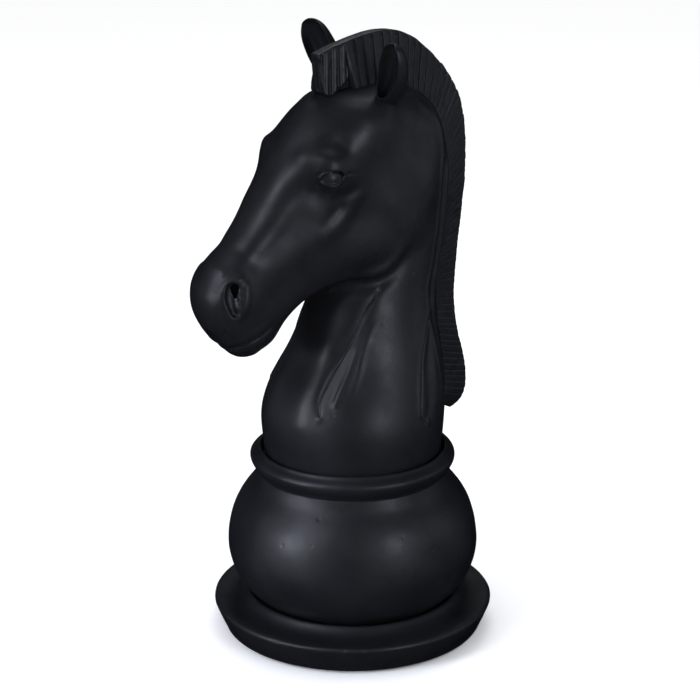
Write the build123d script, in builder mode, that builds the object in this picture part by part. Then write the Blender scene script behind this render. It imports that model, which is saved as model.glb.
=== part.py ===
"""Giant lawn-chess knight: a round weighted pedestal and a lift-off horse-head section.

Frame: +Z up, origin on the pedestal axis at floor level, the horse faces -Y, its left side is +X.
Millimetres throughout.

Pedestal, from the floor up: base pad, foot flange with its closing cover, bowl with a sand filling
and a screwed fill plug, collar ring, deck plate with the locating spigot, and one tie rod that
clamps foot, bowl, collar and deck together.
Head section: hollow neck-and-head casting, its closing neck plate, the pleated mane crest let into
a groove along the neck, and two plugged-in ears.
"""

from build123d import *
import math
import os

os.makedirs("parts", exist_ok=True)

# ------------------------------------------------------------------ driving dimensions
FOOT_R = 115.0  # widest radius of the foot flange
PAD_T = 2.5  # base pad thickness
PAD_R = 100.0
COVER_T = 4.0
GASKET_T = 1.0
COVER_R = 92.0
COVER_SCREW_PCR = 86.0
FOOT_WEB_Z = (21.5, 30.0)  # the foot's horizontal web, under the bowl
BOWL_FLOOR_T = 6.0
BOWL_TOP_Z = 138.0
WALL = 7.0  # casting wall
PORT_Y = 52.0  # fill port, off the axis
PORT_R_IN = 12.0
PORT_R_OUT = 15.5
PORT_Z = 9.5
ROD_R = 6.0
LEDGE_Z = 145.0  # deck plate sits on this ledge of the collar
DECK_TOP = 149.0
SPIGOT_R = 30.0
SPIGOT_TOP = 205.0
COLLAR_BORE = 73.6
NECK_Z = 151.6  # lower end of the head section
PLATE_T = 7.0
SOCKET_R = 31.0
SOCKET_TOP = 212.0
RECESS_R = 64.4
NECK_SCREW_PCR = 57.0
PIN_R = 3.0
BOWL_Z0 = FOOT_WEB_Z[1]
FLOOR_TOP = BOWL_Z0 + BOWL_FLOOR_T

# neck, horizontal sections: z, front y, back y, half width
NECK = [
    (151.6, -72.3, 72.3, 72.3),
    (165.0, -73.5, 73.5, 73.5),
    (190.0, -75.0, 76.0, 74.0),
    (215.0, -68.5, 78.0, 68.0),
    (240.0, -56.0, 77.0, 59.0),
    (265.0, -45.0, 75.5, 51.0),
    (290.0, -34.0, 76.0, 45.0),
    (315.0, -25.0, 80.0, 42.0),
    (340.0, -15.0, 85.0, 40.0),
    (365.0, -4.0, 88.0, 38.5),
    (390.0, 8.0, 88.0, 37.0),
    (412.0, 20.0, 83.0, 34.0),
    (430.0, 30.0, 75.0, 28.0),
    (444.0, 38.0, 63.0, 17.0),
]
# head: a straight axis from behind the poll to the muzzle, and sections square to it
HEAD_O = (30.0, 440.0)  # y, z
HEAD_D = (-0.739, -0.6735)
HEAD_N = (-0.6735, 0.739)  # dorsal side
# distance along the axis, dorsal height, four (half width, height) points, ventral height
HEAD = [
    (-24, 0, (7, -3), (13, -12), (15, -24), (11, -36), -43),
    (-9, 20, (15, 15), (26, 1), (29, -20), (24, -42), -53),
    (8, 33, (20, 28), (34, 7), (36, -22), (30, -54), -68),
    (25, 46, (21, 41), (37, 20), (41, -16), (37, -64), -82),
    (45, 53, (22, 49), (38, 29), (43, -12), (40, -73), -91),
    (64, 55, (22, 51), (40, 34), (43, -4), (42, -77), -93),
    (79, 54, (22, 50), (44, 36), (41, -8), (41, -75), -90),
    (95, 51, (20, 47), (38, 29), (38, -8), (39, -70), -84),
    (112, 47, (17, 43.5), (31, 23), (36, -8), (35, -62), -77),
    (130, 43, (16, 40), (27, 19), (32, -8), (29, -53), -68),
    (150, 39, (15, 35), (24, 16), (27, -8), (23, -45), -59),
    (170, 37, (15.5, 33), (24, 16), (25, -8), (20, -40), -53),
    (188, 37, (17.5, 32), (27.5, 14), (27, -8), (20, -38), -52),
    (204, 35, (18.5, 29.5), (29, 12), (28, -8), (20, -37), -52),
    (217, 29, (17, 24), (26, 7), (26, -11), (18, -33), -47),
    (227, 16, (12, 12), (20, 0), (20, -13), (13, -27), -38),
    (232, 4, (6, 2), (10, -5), (10, -15), (7, -23), -29),
]
HEAD_CAVITY = (5, 12)  # first and last head station that the cavity follows
NECK_CAVITY = (1, 11)

# mane: outer ridge line and root line, both y, z, station by station
MANE_RIDGE = [
    (-25, 492.5), (-12, 495), (2, 497.5), (19, 498.5), (37, 496.5), (51, 492),
    (74, 478), (93, 459), (106, 440), (113, 420), (116, 392), (115, 359),
    (110.5, 326), (105.5, 290), (105.5, 262), (109.5, 236), (115.5, 214),
    (117.5, 198), (115.5, 182), (110.5, 171), (103, 166),
]
MANE_ROOT = [
    (-14, 456), (-4, 457.5), (6, 458), (22, 452), (36, 447), (48, 441),
    (59, 431), (69, 417), (76, 401), (79, 380), (79, 345), (74, 312),
    (70, 290), (68, 266), (69, 246), (71, 228), (73, 212), (74, 200),
    (76, 190), (79, 182), (84, 176),
]
MANE_TOP_W = 4.5  # half width at the ridge
MANE_ROOT_W = 11.0  # half width at the root
PLEAT_PITCH = 8.0
PLEAT_DEPTH = 1.4


# ------------------------------------------------------------------ helpers
def lerp(a, b, t):
    return tuple(p + (q - p) * t for p, q in zip(a, b))


def neck_points(row, inset=0.0):
    z, yf, yb, hw = row
    yc, a, w = (yf + yb) / 2, (yb - yf) / 2 - inset, hw - inset
    return [
        (w * math.sin(math.radians(t)), yc - a * math.cos(math.radians(t)))
        for t in range(0, 360, 45)
    ]


def head_points(row, inset=0.0):
    s, nd, p1, p2, p3, p4, nv = row
    half = [(0.0, nd), p1, p2, p3, p4, (0.0, nv)]
    mid = (nd + nv) / 2
    out = []
    for x, n in half:
        d = math.hypot(x, n - mid)
        k = (d - inset) / d
        out.append((x * k, mid + (n - mid) * k))
    return out + [(-x, n) for x, n in out[4:0:-1]]


def head_plane(s):
    return Plane(
        origin=(0, HEAD_O[0] + HEAD_D[0] * s, HEAD_O[1] + HEAD_D[1] * s),
        x_dir=(1, 0, 0),
        z_dir=(0, HEAD_D[0], HEAD_D[1]),
    )


def row_y_sign(s):
    """+1 if the section plane's local y runs along the dorsal direction."""
    p = head_plane(s)
    return 1.0 if p.y_dir.Y * HEAD_N[0] + p.y_dir.Z * HEAD_N[1] > 0 else -1.0


def done(piece, label):
    piece.part.label = label
    export_step(piece.part, f"parts/{label}.step")
    print(label, len(piece.part.solids()), round(piece.part.volume / 1000, 2), "cm3", piece.part.is_valid)


# ------------------------------------------------------------------ pedestal
with BuildPart() as base_pad:
    with BuildSketch(Plane.XY):
        Circle(PAD_R)
        with Locations((0, PORT_Y)):
            Circle(18.5, mode=Mode.SUBTRACT)
    extrude(amount=PAD_T)
done(base_pad, "base_pad")

z_rebate = PAD_T + COVER_T + GASKET_T
with BuildPart() as foot_flange:
    with BuildSketch(Plane.XZ):
        with BuildLine():
            Spline((106.4, PAD_T), (109.0, 8.0), (112.4, 15.5), (114.6, 21.0), (115.0, 23.2), (113.4, 25.6))
            Spline((113.4, 25.6), (106.0, 26.6), (97.5, 27.2), (92.2, 29.2), (88.6, 32.3), (87.0, 33.2), (85.4, 32.4), (84.8, 30.0))
            Polyline(
                (84.8, FOOT_WEB_Z[1]),
                (0, FOOT_WEB_Z[1]),
                (0, FOOT_WEB_Z[0]),
                (76.0, FOOT_WEB_Z[0]),
                (80.0, FOOT_WEB_Z[0] - 4.0),
                (80.0, z_rebate),
                (COVER_R + 0.4, z_rebate),
                (COVER_R + 0.4, PAD_T),
                (106.4, PAD_T),
            )
        make_face()
    revolve(axis=Axis.Z)
    with Locations((0, 0, FOOT_WEB_Z[1])):
        Hole(ROD_R + 0.4)
    with Locations((0, PORT_Y, FOOT_WEB_Z[1])):
        Hole(PORT_R_OUT + 0.5)
    with BuildSketch(Plane.XY.offset(z_rebate)):
        with PolarLocations(COVER_SCREW_PCR, 6, start_angle=30):
            Circle(2.1)
    extrude(amount=13.0, mode=Mode.SUBTRACT)
done(foot_flange, "foot_flange")

with BuildPart() as cover_gasket:
    with BuildSketch(Plane.XY.offset(PAD_T + COVER_T)):
        Circle(COVER_R)
        Circle(80.0, mode=Mode.SUBTRACT)
        with PolarLocations(COVER_SCREW_PCR, 6, start_angle=30):
            Circle(2.4, mode=Mode.SUBTRACT)
    extrude(amount=GASKET_T)
done(cover_gasket, "cover_gasket")

with BuildPart() as base_cover:
    with BuildSketch(Plane.XY.offset(PAD_T)):
        Circle(COVER_R)
        with Locations((0, PORT_Y)):
            Circle(18.5, mode=Mode.SUBTRACT)
    extrude(amount=COVER_T)
    with Locations(Plane.XY.offset(PAD_T).rotated((180, 0, 0))):
        with PolarLocations(COVER_SCREW_PCR, 6, start_angle=-30 - 300):
            CounterSinkHole(radius=2.3, counter_sink_radius=4.4, counter_sink_angle=90)
    # stiffening ring on the inside face
    with BuildSketch(Plane.XY.offset(PAD_T + COVER_T)):
        Circle(79.0)
        Circle(75.5, mode=Mode.SUBTRACT)
        Circle(30.0)
        Circle(27.0, mode=Mode.SUBTRACT)
    extrude(amount=2.5)
    with BuildSketch(Plane.XY.offset(PAD_T + COVER_T)):
        with Locations((0, PORT_Y)):
            Circle(18.5)
    extrude(amount=4.0, mode=Mode.SUBTRACT)
done(base_cover, "base_cover")

with BuildPart() as cover_screws:
    with BuildSketch(Plane.XZ):
        with BuildLine():
            Polyline((0, 0.15), (4.1, 0.15), (2.0, 2.25), (2.0, 15.0), (0.9, 17.2), (0, 17.2), (0, 0.15))
        make_face()
    revolve(axis=Axis.Z)
    with BuildSketch(Plane.XY):
        Rectangle(3.4, 0.8)
        Rectangle(0.8, 3.4)
    extrude(amount=1.4, mode=Mode.SUBTRACT)
screw_one = cover_screws.part
with BuildPart() as cover_screws:
    with Locations((0, 0, PAD_T)):
        with PolarLocations(COVER_SCREW_PCR, 6, start_angle=30):
            add(screw_one)
done(cover_screws, "cover_screws")

bowl_outer = [
    (78.6, BOWL_Z0), (82.0, 32.2), (87.2, 36.9), (94.6, 45.6), (100.2, 57.5), (102.8, 70.0), (102.8, 79.0),
    (101.0, 92.0), (96.3, 107.0), (89.3, 120.0), (83.0, 129.0), (79.4, 134.6), (78.2, BOWL_TOP_Z),
]
bowl_inner = [
    (64.0, 134.0), (74.5, 125.0), (84.0, 113.0), (91.0, 101.0), (95.0, 88.0), (96.6, 76.0),
    (94.6, 61.0), (89.0, 49.5), (81.0, 41.0), (71.0, FLOOR_TOP),
]
with BuildPart() as bowl_shell:
    with BuildSketch(Plane.XZ):
        with BuildLine():
            Spline(*bowl_outer)
            Polyline(bowl_outer[-1], (64.0, BOWL_TOP_Z), bowl_inner[0])
            Spline(*bowl_inner)
            Polyline(bowl_inner[-1], (0, FLOOR_TOP), (0, BOWL_Z0), bowl_outer[0])
        make_face()
    revolve(axis=Axis.Z)
    # fill port, a tube hanging from the bowl's floor down to the base cover
    with BuildSketch(Plane.XY.offset(PORT_Z)):
        with Locations((0, PORT_Y)):
            Circle(PORT_R_OUT)
    extrude(until=Until.NEXT)
    with BuildSketch(Plane.XY.offset(PORT_Z)):
        with Locations((0, PORT_Y)):
            Circle(PORT_R_IN)
    extrude(amount=FLOOR_TOP - PORT_Z + 1, mode=Mode.SUBTRACT)
    with Locations((0, 0, FLOOR_TOP)):
        Hole(ROD_R + 0.4, depth=BOWL_FLOOR_T)
done(bowl_shell, "bowl_shell")

with BuildPart() as sand_ballast:
    sand_top = 96.0
    g = 0.5
    with BuildSketch(Plane.XZ):
        with BuildLine():
            Polyline((71.0 - 1.5, FLOOR_TOP + 0.1), (7.0, FLOOR_TOP + 0.1), (7.0, sand_top), (92.0, sand_top))
            Spline((92.0, sand_top), (94.9 - g, 86.0), (96.6 - g - 0.4, 76.0), (94.6 - g - 0.3, 61.0), (88.2, 49.6), (80.2, 41.6), (69.5, FLOOR_TOP + 0.1))
        make_face()
    revolve(axis=Axis.Z)
done(sand_ballast, "sand_ballast")

with BuildPart() as plug_seal:
    with BuildSketch(Plane.XY.offset(8.3)):
        with Locations((0, PORT_Y)):
            Circle(15.0)
            Circle(12.2, mode=Mode.SUBTRACT)
    extrude(amount=1.1)
done(plug_seal, "plug_seal")

with BuildPart() as fill_plug:
    with BuildSketch(Plane.XY.offset(4.2)):
        with Locations((0, PORT_Y)):
            Circle(16.5)
    extrude(amount=4.0)
    chamfer(fill_plug.edges().group_by(Axis.Z)[0], 0.8)
    with BuildSketch(Plane.XY.offset(8.2)):
        with Locations((0, PORT_Y)):
            Circle(PORT_R_IN - 0.3)
    extrude(amount=13.5)
    chamfer(fill_plug.edges().group_by(Axis.Z)[-1], 1.2)
    # square drive recess, and the hollow inside of the plug
    with BuildSketch(Plane.XY.offset(4.2)):
        with Locations((0, PORT_Y)):
            Rectangle(12.8, 12.8)
    extrude(amount=9.0, mode=Mode.SUBTRACT)
done(fill_plug, "fill_plug")

with BuildPart() as collar_ring:
    with BuildSketch(Plane.XZ):
        with BuildLine():
            Spline((78.6, BOWL_TOP_Z), (80.6, 141.2), (83.2, 145.4), (84.0, 149.6), (83.0, 154.0), (80.4, 157.0), (77.4, 158.0), (75.0, 157.3), (COLLAR_BORE, 155.0))
            Polyline((COLLAR_BORE, 155.0), (COLLAR_BORE, LEDGE_Z), (62.3, LEDGE_Z), (62.3, BOWL_TOP_Z), (78.6, BOWL_TOP_Z))
        make_face()
    revolve(axis=Axis.Z)
done(collar_ring, "collar_ring")

with BuildPart() as deck_plate:
    with BuildSketch(Plane.XZ):
        with BuildLine():
            Polyline(
                (0, 139.0), (62.0, 139.0), (62.0, LEDGE_Z), (73.2, LEDGE_Z), (73.2, DECK_TOP),
                (SPIGOT_R, DECK_TOP), (SPIGOT_R, 188.2), (SPIGOT_R - 2.3, 188.2), (SPIGOT_R - 2.3, 191.2),
                (SPIGOT_R, 191.2), (SPIGOT_R, SPIGOT_TOP - 4.0), (SPIGOT_R - 3.0, SPIGOT_TOP),
                (24.0, SPIGOT_TOP), (24.0, DECK_TOP), (0, DECK_TOP), (0, 139.0),
            )
        make_face()
    revolve(axis=Axis.Z)
    with Locations((0, 0, DECK_TOP)):
        Hole(ROD_R + 0.4, depth=10.0)
done(deck_plate, "deck_plate")

with BuildPart() as spigot_oring:
    with BuildSketch(Plane.XZ):
        with Locations((SPIGOT_R - 2.3 + 1.45, 189.7)):
            Circle(1.45)
    revolve(axis=Axis.Z)
done(spigot_oring, "spigot_oring")


def hex_nut(z0, height, across):
    with BuildPart() as nut:
        with BuildSketch(Plane.XY.offset(z0)):
            RegularPolygon(across / 2, 6, major_radius=False)
            Circle(ROD_R + 0.1, mode=Mode.SUBTRACT)
        extrude(amount=height)
    return nut


def washer(z0, height, radius):
    with BuildPart() as disc:
        with BuildSketch(Plane.XY.offset(z0)):
            Circle(radius)
            Circle(ROD_R + 0.3, mode=Mode.SUBTRACT)
        extrude(amount=height)
    return disc


done(washer(FOOT_WEB_Z[0] - 2.5, 2.5, 18.0), "lower_washer")
done(hex_nut(FOOT_WEB_Z[0] - 12.5, 10.0, 19.0), "lower_nut")
done(washer(DECK_TOP, 2.5, 12.0), "upper_washer")
done(hex_nut(DECK_TOP + 2.5, 10.0, 19.0), "upper_nut")

with BuildPart() as tie_rod:
    with BuildSketch(Plane.XY.offset(7.5)):
        Circle(ROD_R)
    extrude(amount=DECK_TOP + 16.0 - 7.5)
    chamfer(tie_rod.edges().filter_by(GeomType.CIRCLE), 1.0)
done(tie_rod, "tie_rod")

# ------------------------------------------------------------------ turning ring between deck and head
with BuildPart() as glide_ring:
    with BuildSketch(Plane.XY.offset(DECK_TOP + 0.3)):
        Circle(64.0)
        Circle(38.0, mode=Mode.SUBTRACT)
    extrude(amount=2.0)
done(glide_ring, "glide_ring")

# ------------------------------------------------------------------ head section
with BuildPart() as head_outer:
    for row in NECK:
        with BuildSketch(Plane.XY.offset(row[0])):
            with BuildLine():
                Spline(*neck_points(row), periodic=True)
            make_face()
    loft()
    for row in HEAD:
        k = row_y_sign(row[0])
        with BuildSketch(head_plane(row[0])):
            with BuildLine():
                Spline(*[(x, n * k) for x, n in head_points(row)], periodic=True)
            make_face()
    loft()
print("head_outer", head_outer.part.is_valid, len(head_outer.part.solids()), head_outer.part.volume / 1e6)

# mane blank: trapezoid sections across the crest, pleated by narrow and wide stations
def mane_sections(pleats=True, grow=0.0):
    ridge, root = MANE_RIDGE, MANE_ROOT
    run = [0.0]
    for a, b in zip(ridge, ridge[1:]):
        run.append(run[-1] + math.hypot(b[0] - a[0], b[1] - a[1]))
    n = int(round(run[-1] / PLEAT_PITCH)) * 2
    out = []
    for i in range(n + 1):
        s = run[-1] * i / n
        k = max(j for j in range(len(run) - 1) if run[j] <= s + 1e-9)
        t = (s - run[k]) / (run[k + 1] - run[k])
        o, r = lerp(ridge[k], ridge[k + 1], t), lerp(root[k], root[k + 1], t)
        dip = PLEAT_DEPTH if (pleats and i % 2) else 0.0
        out.append((o, r, MANE_TOP_W, MANE_ROOT_W, dip))
    return out


with BuildPart() as mane_crest:
    rows = mane_sections()
    for o, r, wt, wr, dip in rows:
        across = Vector(0, o[0] - r[0], o[1] - r[1])
        height = across.length
        plane = Plane(origin=(0, r[0], r[1]), x_dir=(1, 0, 0), z_dir=Vector(1, 0, 0).cross(across.normalized()))
        cap = height - 3.5
        wc = wt + (wr - wt) * 3.5 / height
        with BuildSketch(plane):
            with BuildLine():
                Polyline(
                    (-wr + dip, 0), (wr - dip, 0), (wc - dip, cap), (wt, height - 1.2), (wt - 1.5, height),
                    (-wt + 1.5, height), (-wt, height - 1.2), (-wc + dip, cap), (-wr + dip, 0),
                )
            make_face()
    loft(ruled=True)
print("mane blank", mane_crest.part.is_valid, mane_crest.part.volume / 1000)

# forelock: the block that ends the mane over the forehead
FORELOCK = [  # y, z of the front edge, y, z of the rear edge, half width; from the top down
    (-37.5, 492.0, -25.2, 493.6, 4.6),
    (-40.6, 487.5, -24.0, 489.0, 6.4),
    (-38.0, 472.0, -19.5, 474.0, 8.4),
    (-34.6, 457.5, -15.5, 461.0, 10.0),
    (-33.0, 449.0, -12.0, 449.0, 9.4),
]
with BuildPart() as forelock_blank:
    for y0, z0, y1, z1, hw in FORELOCK:
        along = Vector(0, y1 - y0, z1 - z0)
        plane = Plane(origin=(0, y0, z0), x_dir=(1, 0, 0), z_dir=Vector(1, 0, 0).cross(along.normalized()))
        k = along.length
        with BuildSketch(plane):
            with BuildLine():
                Polyline((-hw + 2.2, 0), (hw - 2.2, 0), (hw, 2.2), (hw, k), (-hw, k), (-hw, 2.2), (-hw + 2.2, 0))
            make_face()
    loft(ruled=True)
print("forelock blank", forelock_blank.part.is_valid, forelock_blank.part.volume / 1000)

# ears: leaf-shaped cups that open forward and outward; station along the ear, half width, hollow
EAR_ROOT = (25.5, 16.6, 430.0)
EAR_TIP = (45.5, 1.0, 501.0)
EAR = [
    (0.0, 15.0, 0.15), (0.2, 16.5, 0.22), (0.4, 16.5, 0.45), (0.6, 15.2, 0.62),
    (0.775, 12.4, 0.66), (0.92, 7.2, 0.6), (1.0, 2.2, 0.3),
]


def ear_blank(side):
    root = Vector(side * EAR_ROOT[0], EAR_ROOT[1], EAR_ROOT[2])
    axis = Vector(side * EAR_TIP[0], EAR_TIP[1], EAR_TIP[2]) - root
    across = Vector(side * 0.62, 0.78, 0.0)  # from the inner front rim to the outer rear rim
    across = (across - axis * (across.dot(axis) / axis.dot(axis))).normalized()
    with BuildPart() as blank:
        for t, w, h in EAR:
            plane = Plane(origin=root + axis * t, x_dir=across, z_dir=axis)
            # the open side is the one that looks forward
            f = 1.0 if plane.y_dir.Y < 0 else -1.0
            back = [
                (-0.74 * w, 0.5 * w), (-w, 0.02 * w), (-0.62 * w, -0.46 * w), (0, -0.62 * w),
                (0.62 * w, -0.46 * w), (w, 0.02 * w), (0.74 * w, 0.5 * w),
            ]
            front = [back[-1], (0, (0.5 - h) * w), back[0]]
            with BuildSketch(plane):
                with BuildLine():
                    Spline(*[(x, y * f) for x, y in back])
                    Spline(*[(x, y * f) for x, y in front])
                make_face()
        loft()
    return blank


# pins that hold the ears and the mane on the casting
EAR_PINS = [Plane(origin=(s * 26.0, 17.5, 432.0), z_dir=(s * 20.0, -15.6, 71.0)) for s in (1, -1)]
MANE_PINS = [
    Plane(origin=(0, 16.0, 451.0), z_dir=(0, 0.0, 1.0)),
    Plane(origin=(0, 76.0, 372.0), z_dir=(0, 1.0, 0.12)),
    Plane(origin=(0, 66.0, 262.0), z_dir=(0, 1.0, 0.1)),
]
PIN_L = 24.0

with BuildPart() as ear_pins:
    for plane in EAR_PINS:
        with BuildSketch(plane):
            Circle(PIN_R)
        extrude(amount=PIN_L)
done(ear_pins, "ear_pins")

with BuildPart() as mane_pins:
    for plane in MANE_PINS:
        with BuildSketch(plane):
            Circle(PIN_R)
        extrude(amount=PIN_L)
done(mane_pins, "mane_pins")

for label, side in (("left_ear", 1), ("right_ear", -1)):
    blank = ear_blank(side)
    with BuildPart() as ear:
        add(blank.part)
        add(head_outer.part, mode=Mode.SUBTRACT)
        add(ear_pins.part, mode=Mode.SUBTRACT)
    done(ear, label)

with BuildPart() as forelock:
    add(forelock_blank.part)
    add(head_outer.part, mode=Mode.SUBTRACT)
    add(mane_crest.part, mode=Mode.SUBTRACT)
done(forelock, "forelock")

mane_raw = mane_crest.part
with BuildPart() as mane_crest:
    add(mane_raw)
    add(head_outer.part, mode=Mode.SUBTRACT)
    add(mane_pins.part, mode=Mode.SUBTRACT)
done(mane_crest, "mane_crest")

# casting: hollow from the closing flange up to the cheeks, solid from there to the lips
with BuildPart() as cavity:
    rows = [(168.0, -73.7, 73.8, 73.6)] + NECK[NECK_CAVITY[0] + 1 : NECK_CAVITY[1] + 1]
    for row in rows:
        with BuildSketch(Plane.XY.offset(row[0])):
            with BuildLine():
                Spline(*neck_points(row, WALL), periodic=True)
            make_face()
    loft()
    for row in HEAD[HEAD_CAVITY[0] : HEAD_CAVITY[1] + 1]:
        k = row_y_sign(row[0])
        with BuildSketch(head_plane(row[0])):
            with BuildLine():
                Spline(*[(x, n * k) for x, n in head_points(row, WALL)], periodic=True)
            make_face()
    loft()
print("cavity", cavity.part.is_valid, len(cavity.part.solids()), cavity.part.volume / 1e6)


def head_point(x, s, n):
    return (x, HEAD_O[0] + HEAD_D[0] * s + HEAD_N[0] * n, HEAD_O[1] + HEAD_D[1] * s + HEAD_N[1] * n)


with BuildPart() as head_shell:
    add(head_outer.part)
    add(cavity.part, mode=Mode.SUBTRACT)
    # recess for the closing plate, and the bore through the screw flange behind it
    with BuildSketch(Plane.XY.offset(NECK_Z)):
        Circle(RECESS_R)
    extrude(amount=PLATE_T + 0.2, mode=Mode.SUBTRACT)
    with BuildSketch(Plane.XY.offset(NECK_Z)):
        Circle(50.0)
    extrude(amount=20.0, mode=Mode.SUBTRACT)
    with BuildSketch(Plane.XY.offset(NECK_Z + PLATE_T)):
        with PolarLocations(NECK_SCREW_PCR, 4, start_angle=45):
            Circle(2.1)
    extrude(amount=16.0, mode=Mode.SUBTRACT)
    # eyes
    with Locations(head_point(34.5, 84, 27.5), head_point(-34.5, 84, 27.5)):
        Sphere(11.0)
    # nostrils
    with Locations(head_point(30.0, 204, 20), head_point(-30.0, 204, 20)):
        Sphere(9.0, mode=Mode.SUBTRACT)
    # mouth
    with BuildSketch(Plane.YZ):
        with BuildLine():
            Polyline(
                head_point(0, 200, -33)[1:], head_point(0, 216, -30.5)[1:], head_point(0, 236, -22)[1:],
                head_point(0, 236, -24.4)[1:], head_point(0, 216, -32.6)[1:], head_point(0, 200, -34)[1:],
                head_point(0, 200, -33)[1:],
            )
        make_face()
    extrude(amount=45.0, both=True, mode=Mode.SUBTRACT)
    add(ear_pins.part, mode=Mode.SUBTRACT)
    add(mane_pins.part, mode=Mode.SUBTRACT)
done(head_shell, "head_shell")

with BuildPart() as neck_plate:
    with BuildSketch(Plane.XZ):
        with BuildLine():
            Polyline(
                (SOCKET_R, NECK_Z), (RECESS_R - 0.4, NECK_Z), (RECESS_R - 0.4, NECK_Z + PLATE_T),
                (SOCKET_R + 4.5, NECK_Z + PLATE_T), (SOCKET_R + 4.5, SOCKET_TOP + 4.0), (0, SOCKET_TOP + 4.0),
                (0, SOCKET_TOP), (SOCKET_R, SOCKET_TOP), (SOCKET_R, NECK_Z),
            )
        make_face()
    revolve(axis=Axis.Z)
    with Locations(Plane.XY.offset(NECK_Z).rotated((180, 0, 0))):
        with PolarLocations(NECK_SCREW_PCR, 4, start_angle=45):
            CounterSinkHole(radius=2.3, counter_sink_radius=4.4, counter_sink_angle=90, depth=PLATE_T + 1)
    # lead-in for the spigot
    chamfer(neck_plate.edges().filter_by(GeomType.CIRCLE).filter_by(lambda e: abs(e.radius - SOCKET_R) < 1e-6).sort_by(Axis.Z)[0], 2.0)
done(neck_plate, "neck_plate")

with BuildPart() as neck_plate_screws:
    with Locations((0, 0, NECK_Z)):
        with PolarLocations(NECK_SCREW_PCR, 4, start_angle=45):
            add(screw_one)
done(neck_plate_screws, "neck_plate_screws")
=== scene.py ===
import math
import bpy
import numpy as np
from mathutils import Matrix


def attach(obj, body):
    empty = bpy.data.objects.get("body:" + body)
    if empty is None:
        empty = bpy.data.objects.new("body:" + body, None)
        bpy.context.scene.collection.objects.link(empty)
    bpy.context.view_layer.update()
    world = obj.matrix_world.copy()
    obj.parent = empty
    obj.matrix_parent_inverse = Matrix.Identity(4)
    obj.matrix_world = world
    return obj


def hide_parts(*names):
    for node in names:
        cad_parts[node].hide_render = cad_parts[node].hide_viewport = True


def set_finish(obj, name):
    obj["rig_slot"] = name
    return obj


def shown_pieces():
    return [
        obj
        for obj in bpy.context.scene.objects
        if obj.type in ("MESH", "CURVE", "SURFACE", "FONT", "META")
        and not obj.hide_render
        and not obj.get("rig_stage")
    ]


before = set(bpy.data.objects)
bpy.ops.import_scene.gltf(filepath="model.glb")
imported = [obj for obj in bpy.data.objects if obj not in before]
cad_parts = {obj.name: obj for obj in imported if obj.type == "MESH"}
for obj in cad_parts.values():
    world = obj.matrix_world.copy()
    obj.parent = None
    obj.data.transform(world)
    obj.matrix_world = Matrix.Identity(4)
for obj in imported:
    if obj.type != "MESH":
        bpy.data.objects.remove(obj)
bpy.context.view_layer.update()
import openvdb
from mathutils import Vector, Matrix

# All shape tables below are in millimetres in the row frame: +Z up, the horse faces -Y, its left side is +X.
MM = 0.001

# ------------------------------------------------------------------ small numeric helpers


def spline_coeff(t, P, closed):
    """Second derivatives of a cubic spline through P at parameters t (P is (n, ...))."""
    n = len(P)
    h = np.diff(t)
    if closed:
        A = np.zeros((n, n))
        B = np.zeros((n,) + P.shape[1:])
        for i in range(n):
            hm, hp = h[i - 1], h[i]
            A[i, i - 1] += hm
            A[i, i] += 2 * (hm + hp)
            A[i, (i + 1) % n] += hp
            B[i] = 6 * ((P[(i + 1) % n] - P[i]) / hp - (P[i] - P[i - 1]) / hm)
    else:
        A = np.zeros((n, n))
        B = np.zeros((n,) + P.shape[1:])
        A[0, 0] = A[-1, -1] = 1.0
        for i in range(1, n - 1):
            A[i, i - 1], A[i, i], A[i, i + 1] = h[i - 1], 2 * (h[i - 1] + h[i]), h[i]
            B[i] = 6 * ((P[i + 1] - P[i]) / h[i] - (P[i] - P[i - 1]) / h[i - 1])
    return np.linalg.solve(A, B.reshape(n, -1)).reshape(P.shape)


def spline_at(t, P, M, u):
    i = np.clip(np.searchsorted(t, u, side="right") - 1, 0, len(t) - 2)
    n = len(P)
    h = (t[i + 1] - t[i])
    a = (t[i + 1] - u) / h
    b = (u - t[i]) / h
    s = (-1,) + (1,) * (P.ndim - 1)
    a, b, h = a.reshape(s), b.reshape(s), h.reshape(s)
    p0, p1, m0, m1 = P[i], P[(i + 1) % n], M[i], M[(i + 1) % n]
    return a * p0 + b * p1 + ((a**3 - a) * m0 + (b**3 - b) * m1) * h * h / 6


def ring(points, k=10):
    """A closed smooth ring through the points, k samples per span."""
    P = np.array(points, float)
    n = len(P)
    seg = np.linalg.norm(np.roll(P, -1, 0) - P, axis=1) ** 0.75
    t = np.concatenate([[0], np.cumsum(seg)])
    M = spline_coeff(t, P, True)
    u = np.concatenate([t[i] + (t[i + 1] - t[i]) * np.arange(k) / k for i in range(n)])
    return spline_at(t, P, M, u)


def curve(points, n, power=1.0):
    """An open smooth curve through the points, n samples evenly spread."""
    P = np.array(points, float)
    t = np.concatenate([[0], np.cumsum(np.linalg.norm(np.diff(P, axis=0), axis=1) ** power)])
    M = spline_coeff(t, P, False)
    fine = spline_at(t, P, M, np.linspace(0, t[-1], n * 8))
    d = np.concatenate([[0], np.cumsum(np.linalg.norm(np.diff(fine, axis=0), axis=1))])
    return np.stack([np.interp(np.linspace(0, d[-1], n), d, fine[:, j]) for j in range(P.shape[1])], 1)


def through(stations, rings, step):
    """Smoothly interpolates rings (m, k, 3) given at the stations to even steps."""
    t = np.array(stations, float)
    R = np.array(rings)
    M = spline_coeff(t, R, False)
    u = np.linspace(t[0], t[-1], int((t[-1] - t[0]) / step) + 2)
    return spline_at(t, R, M, u)


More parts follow.
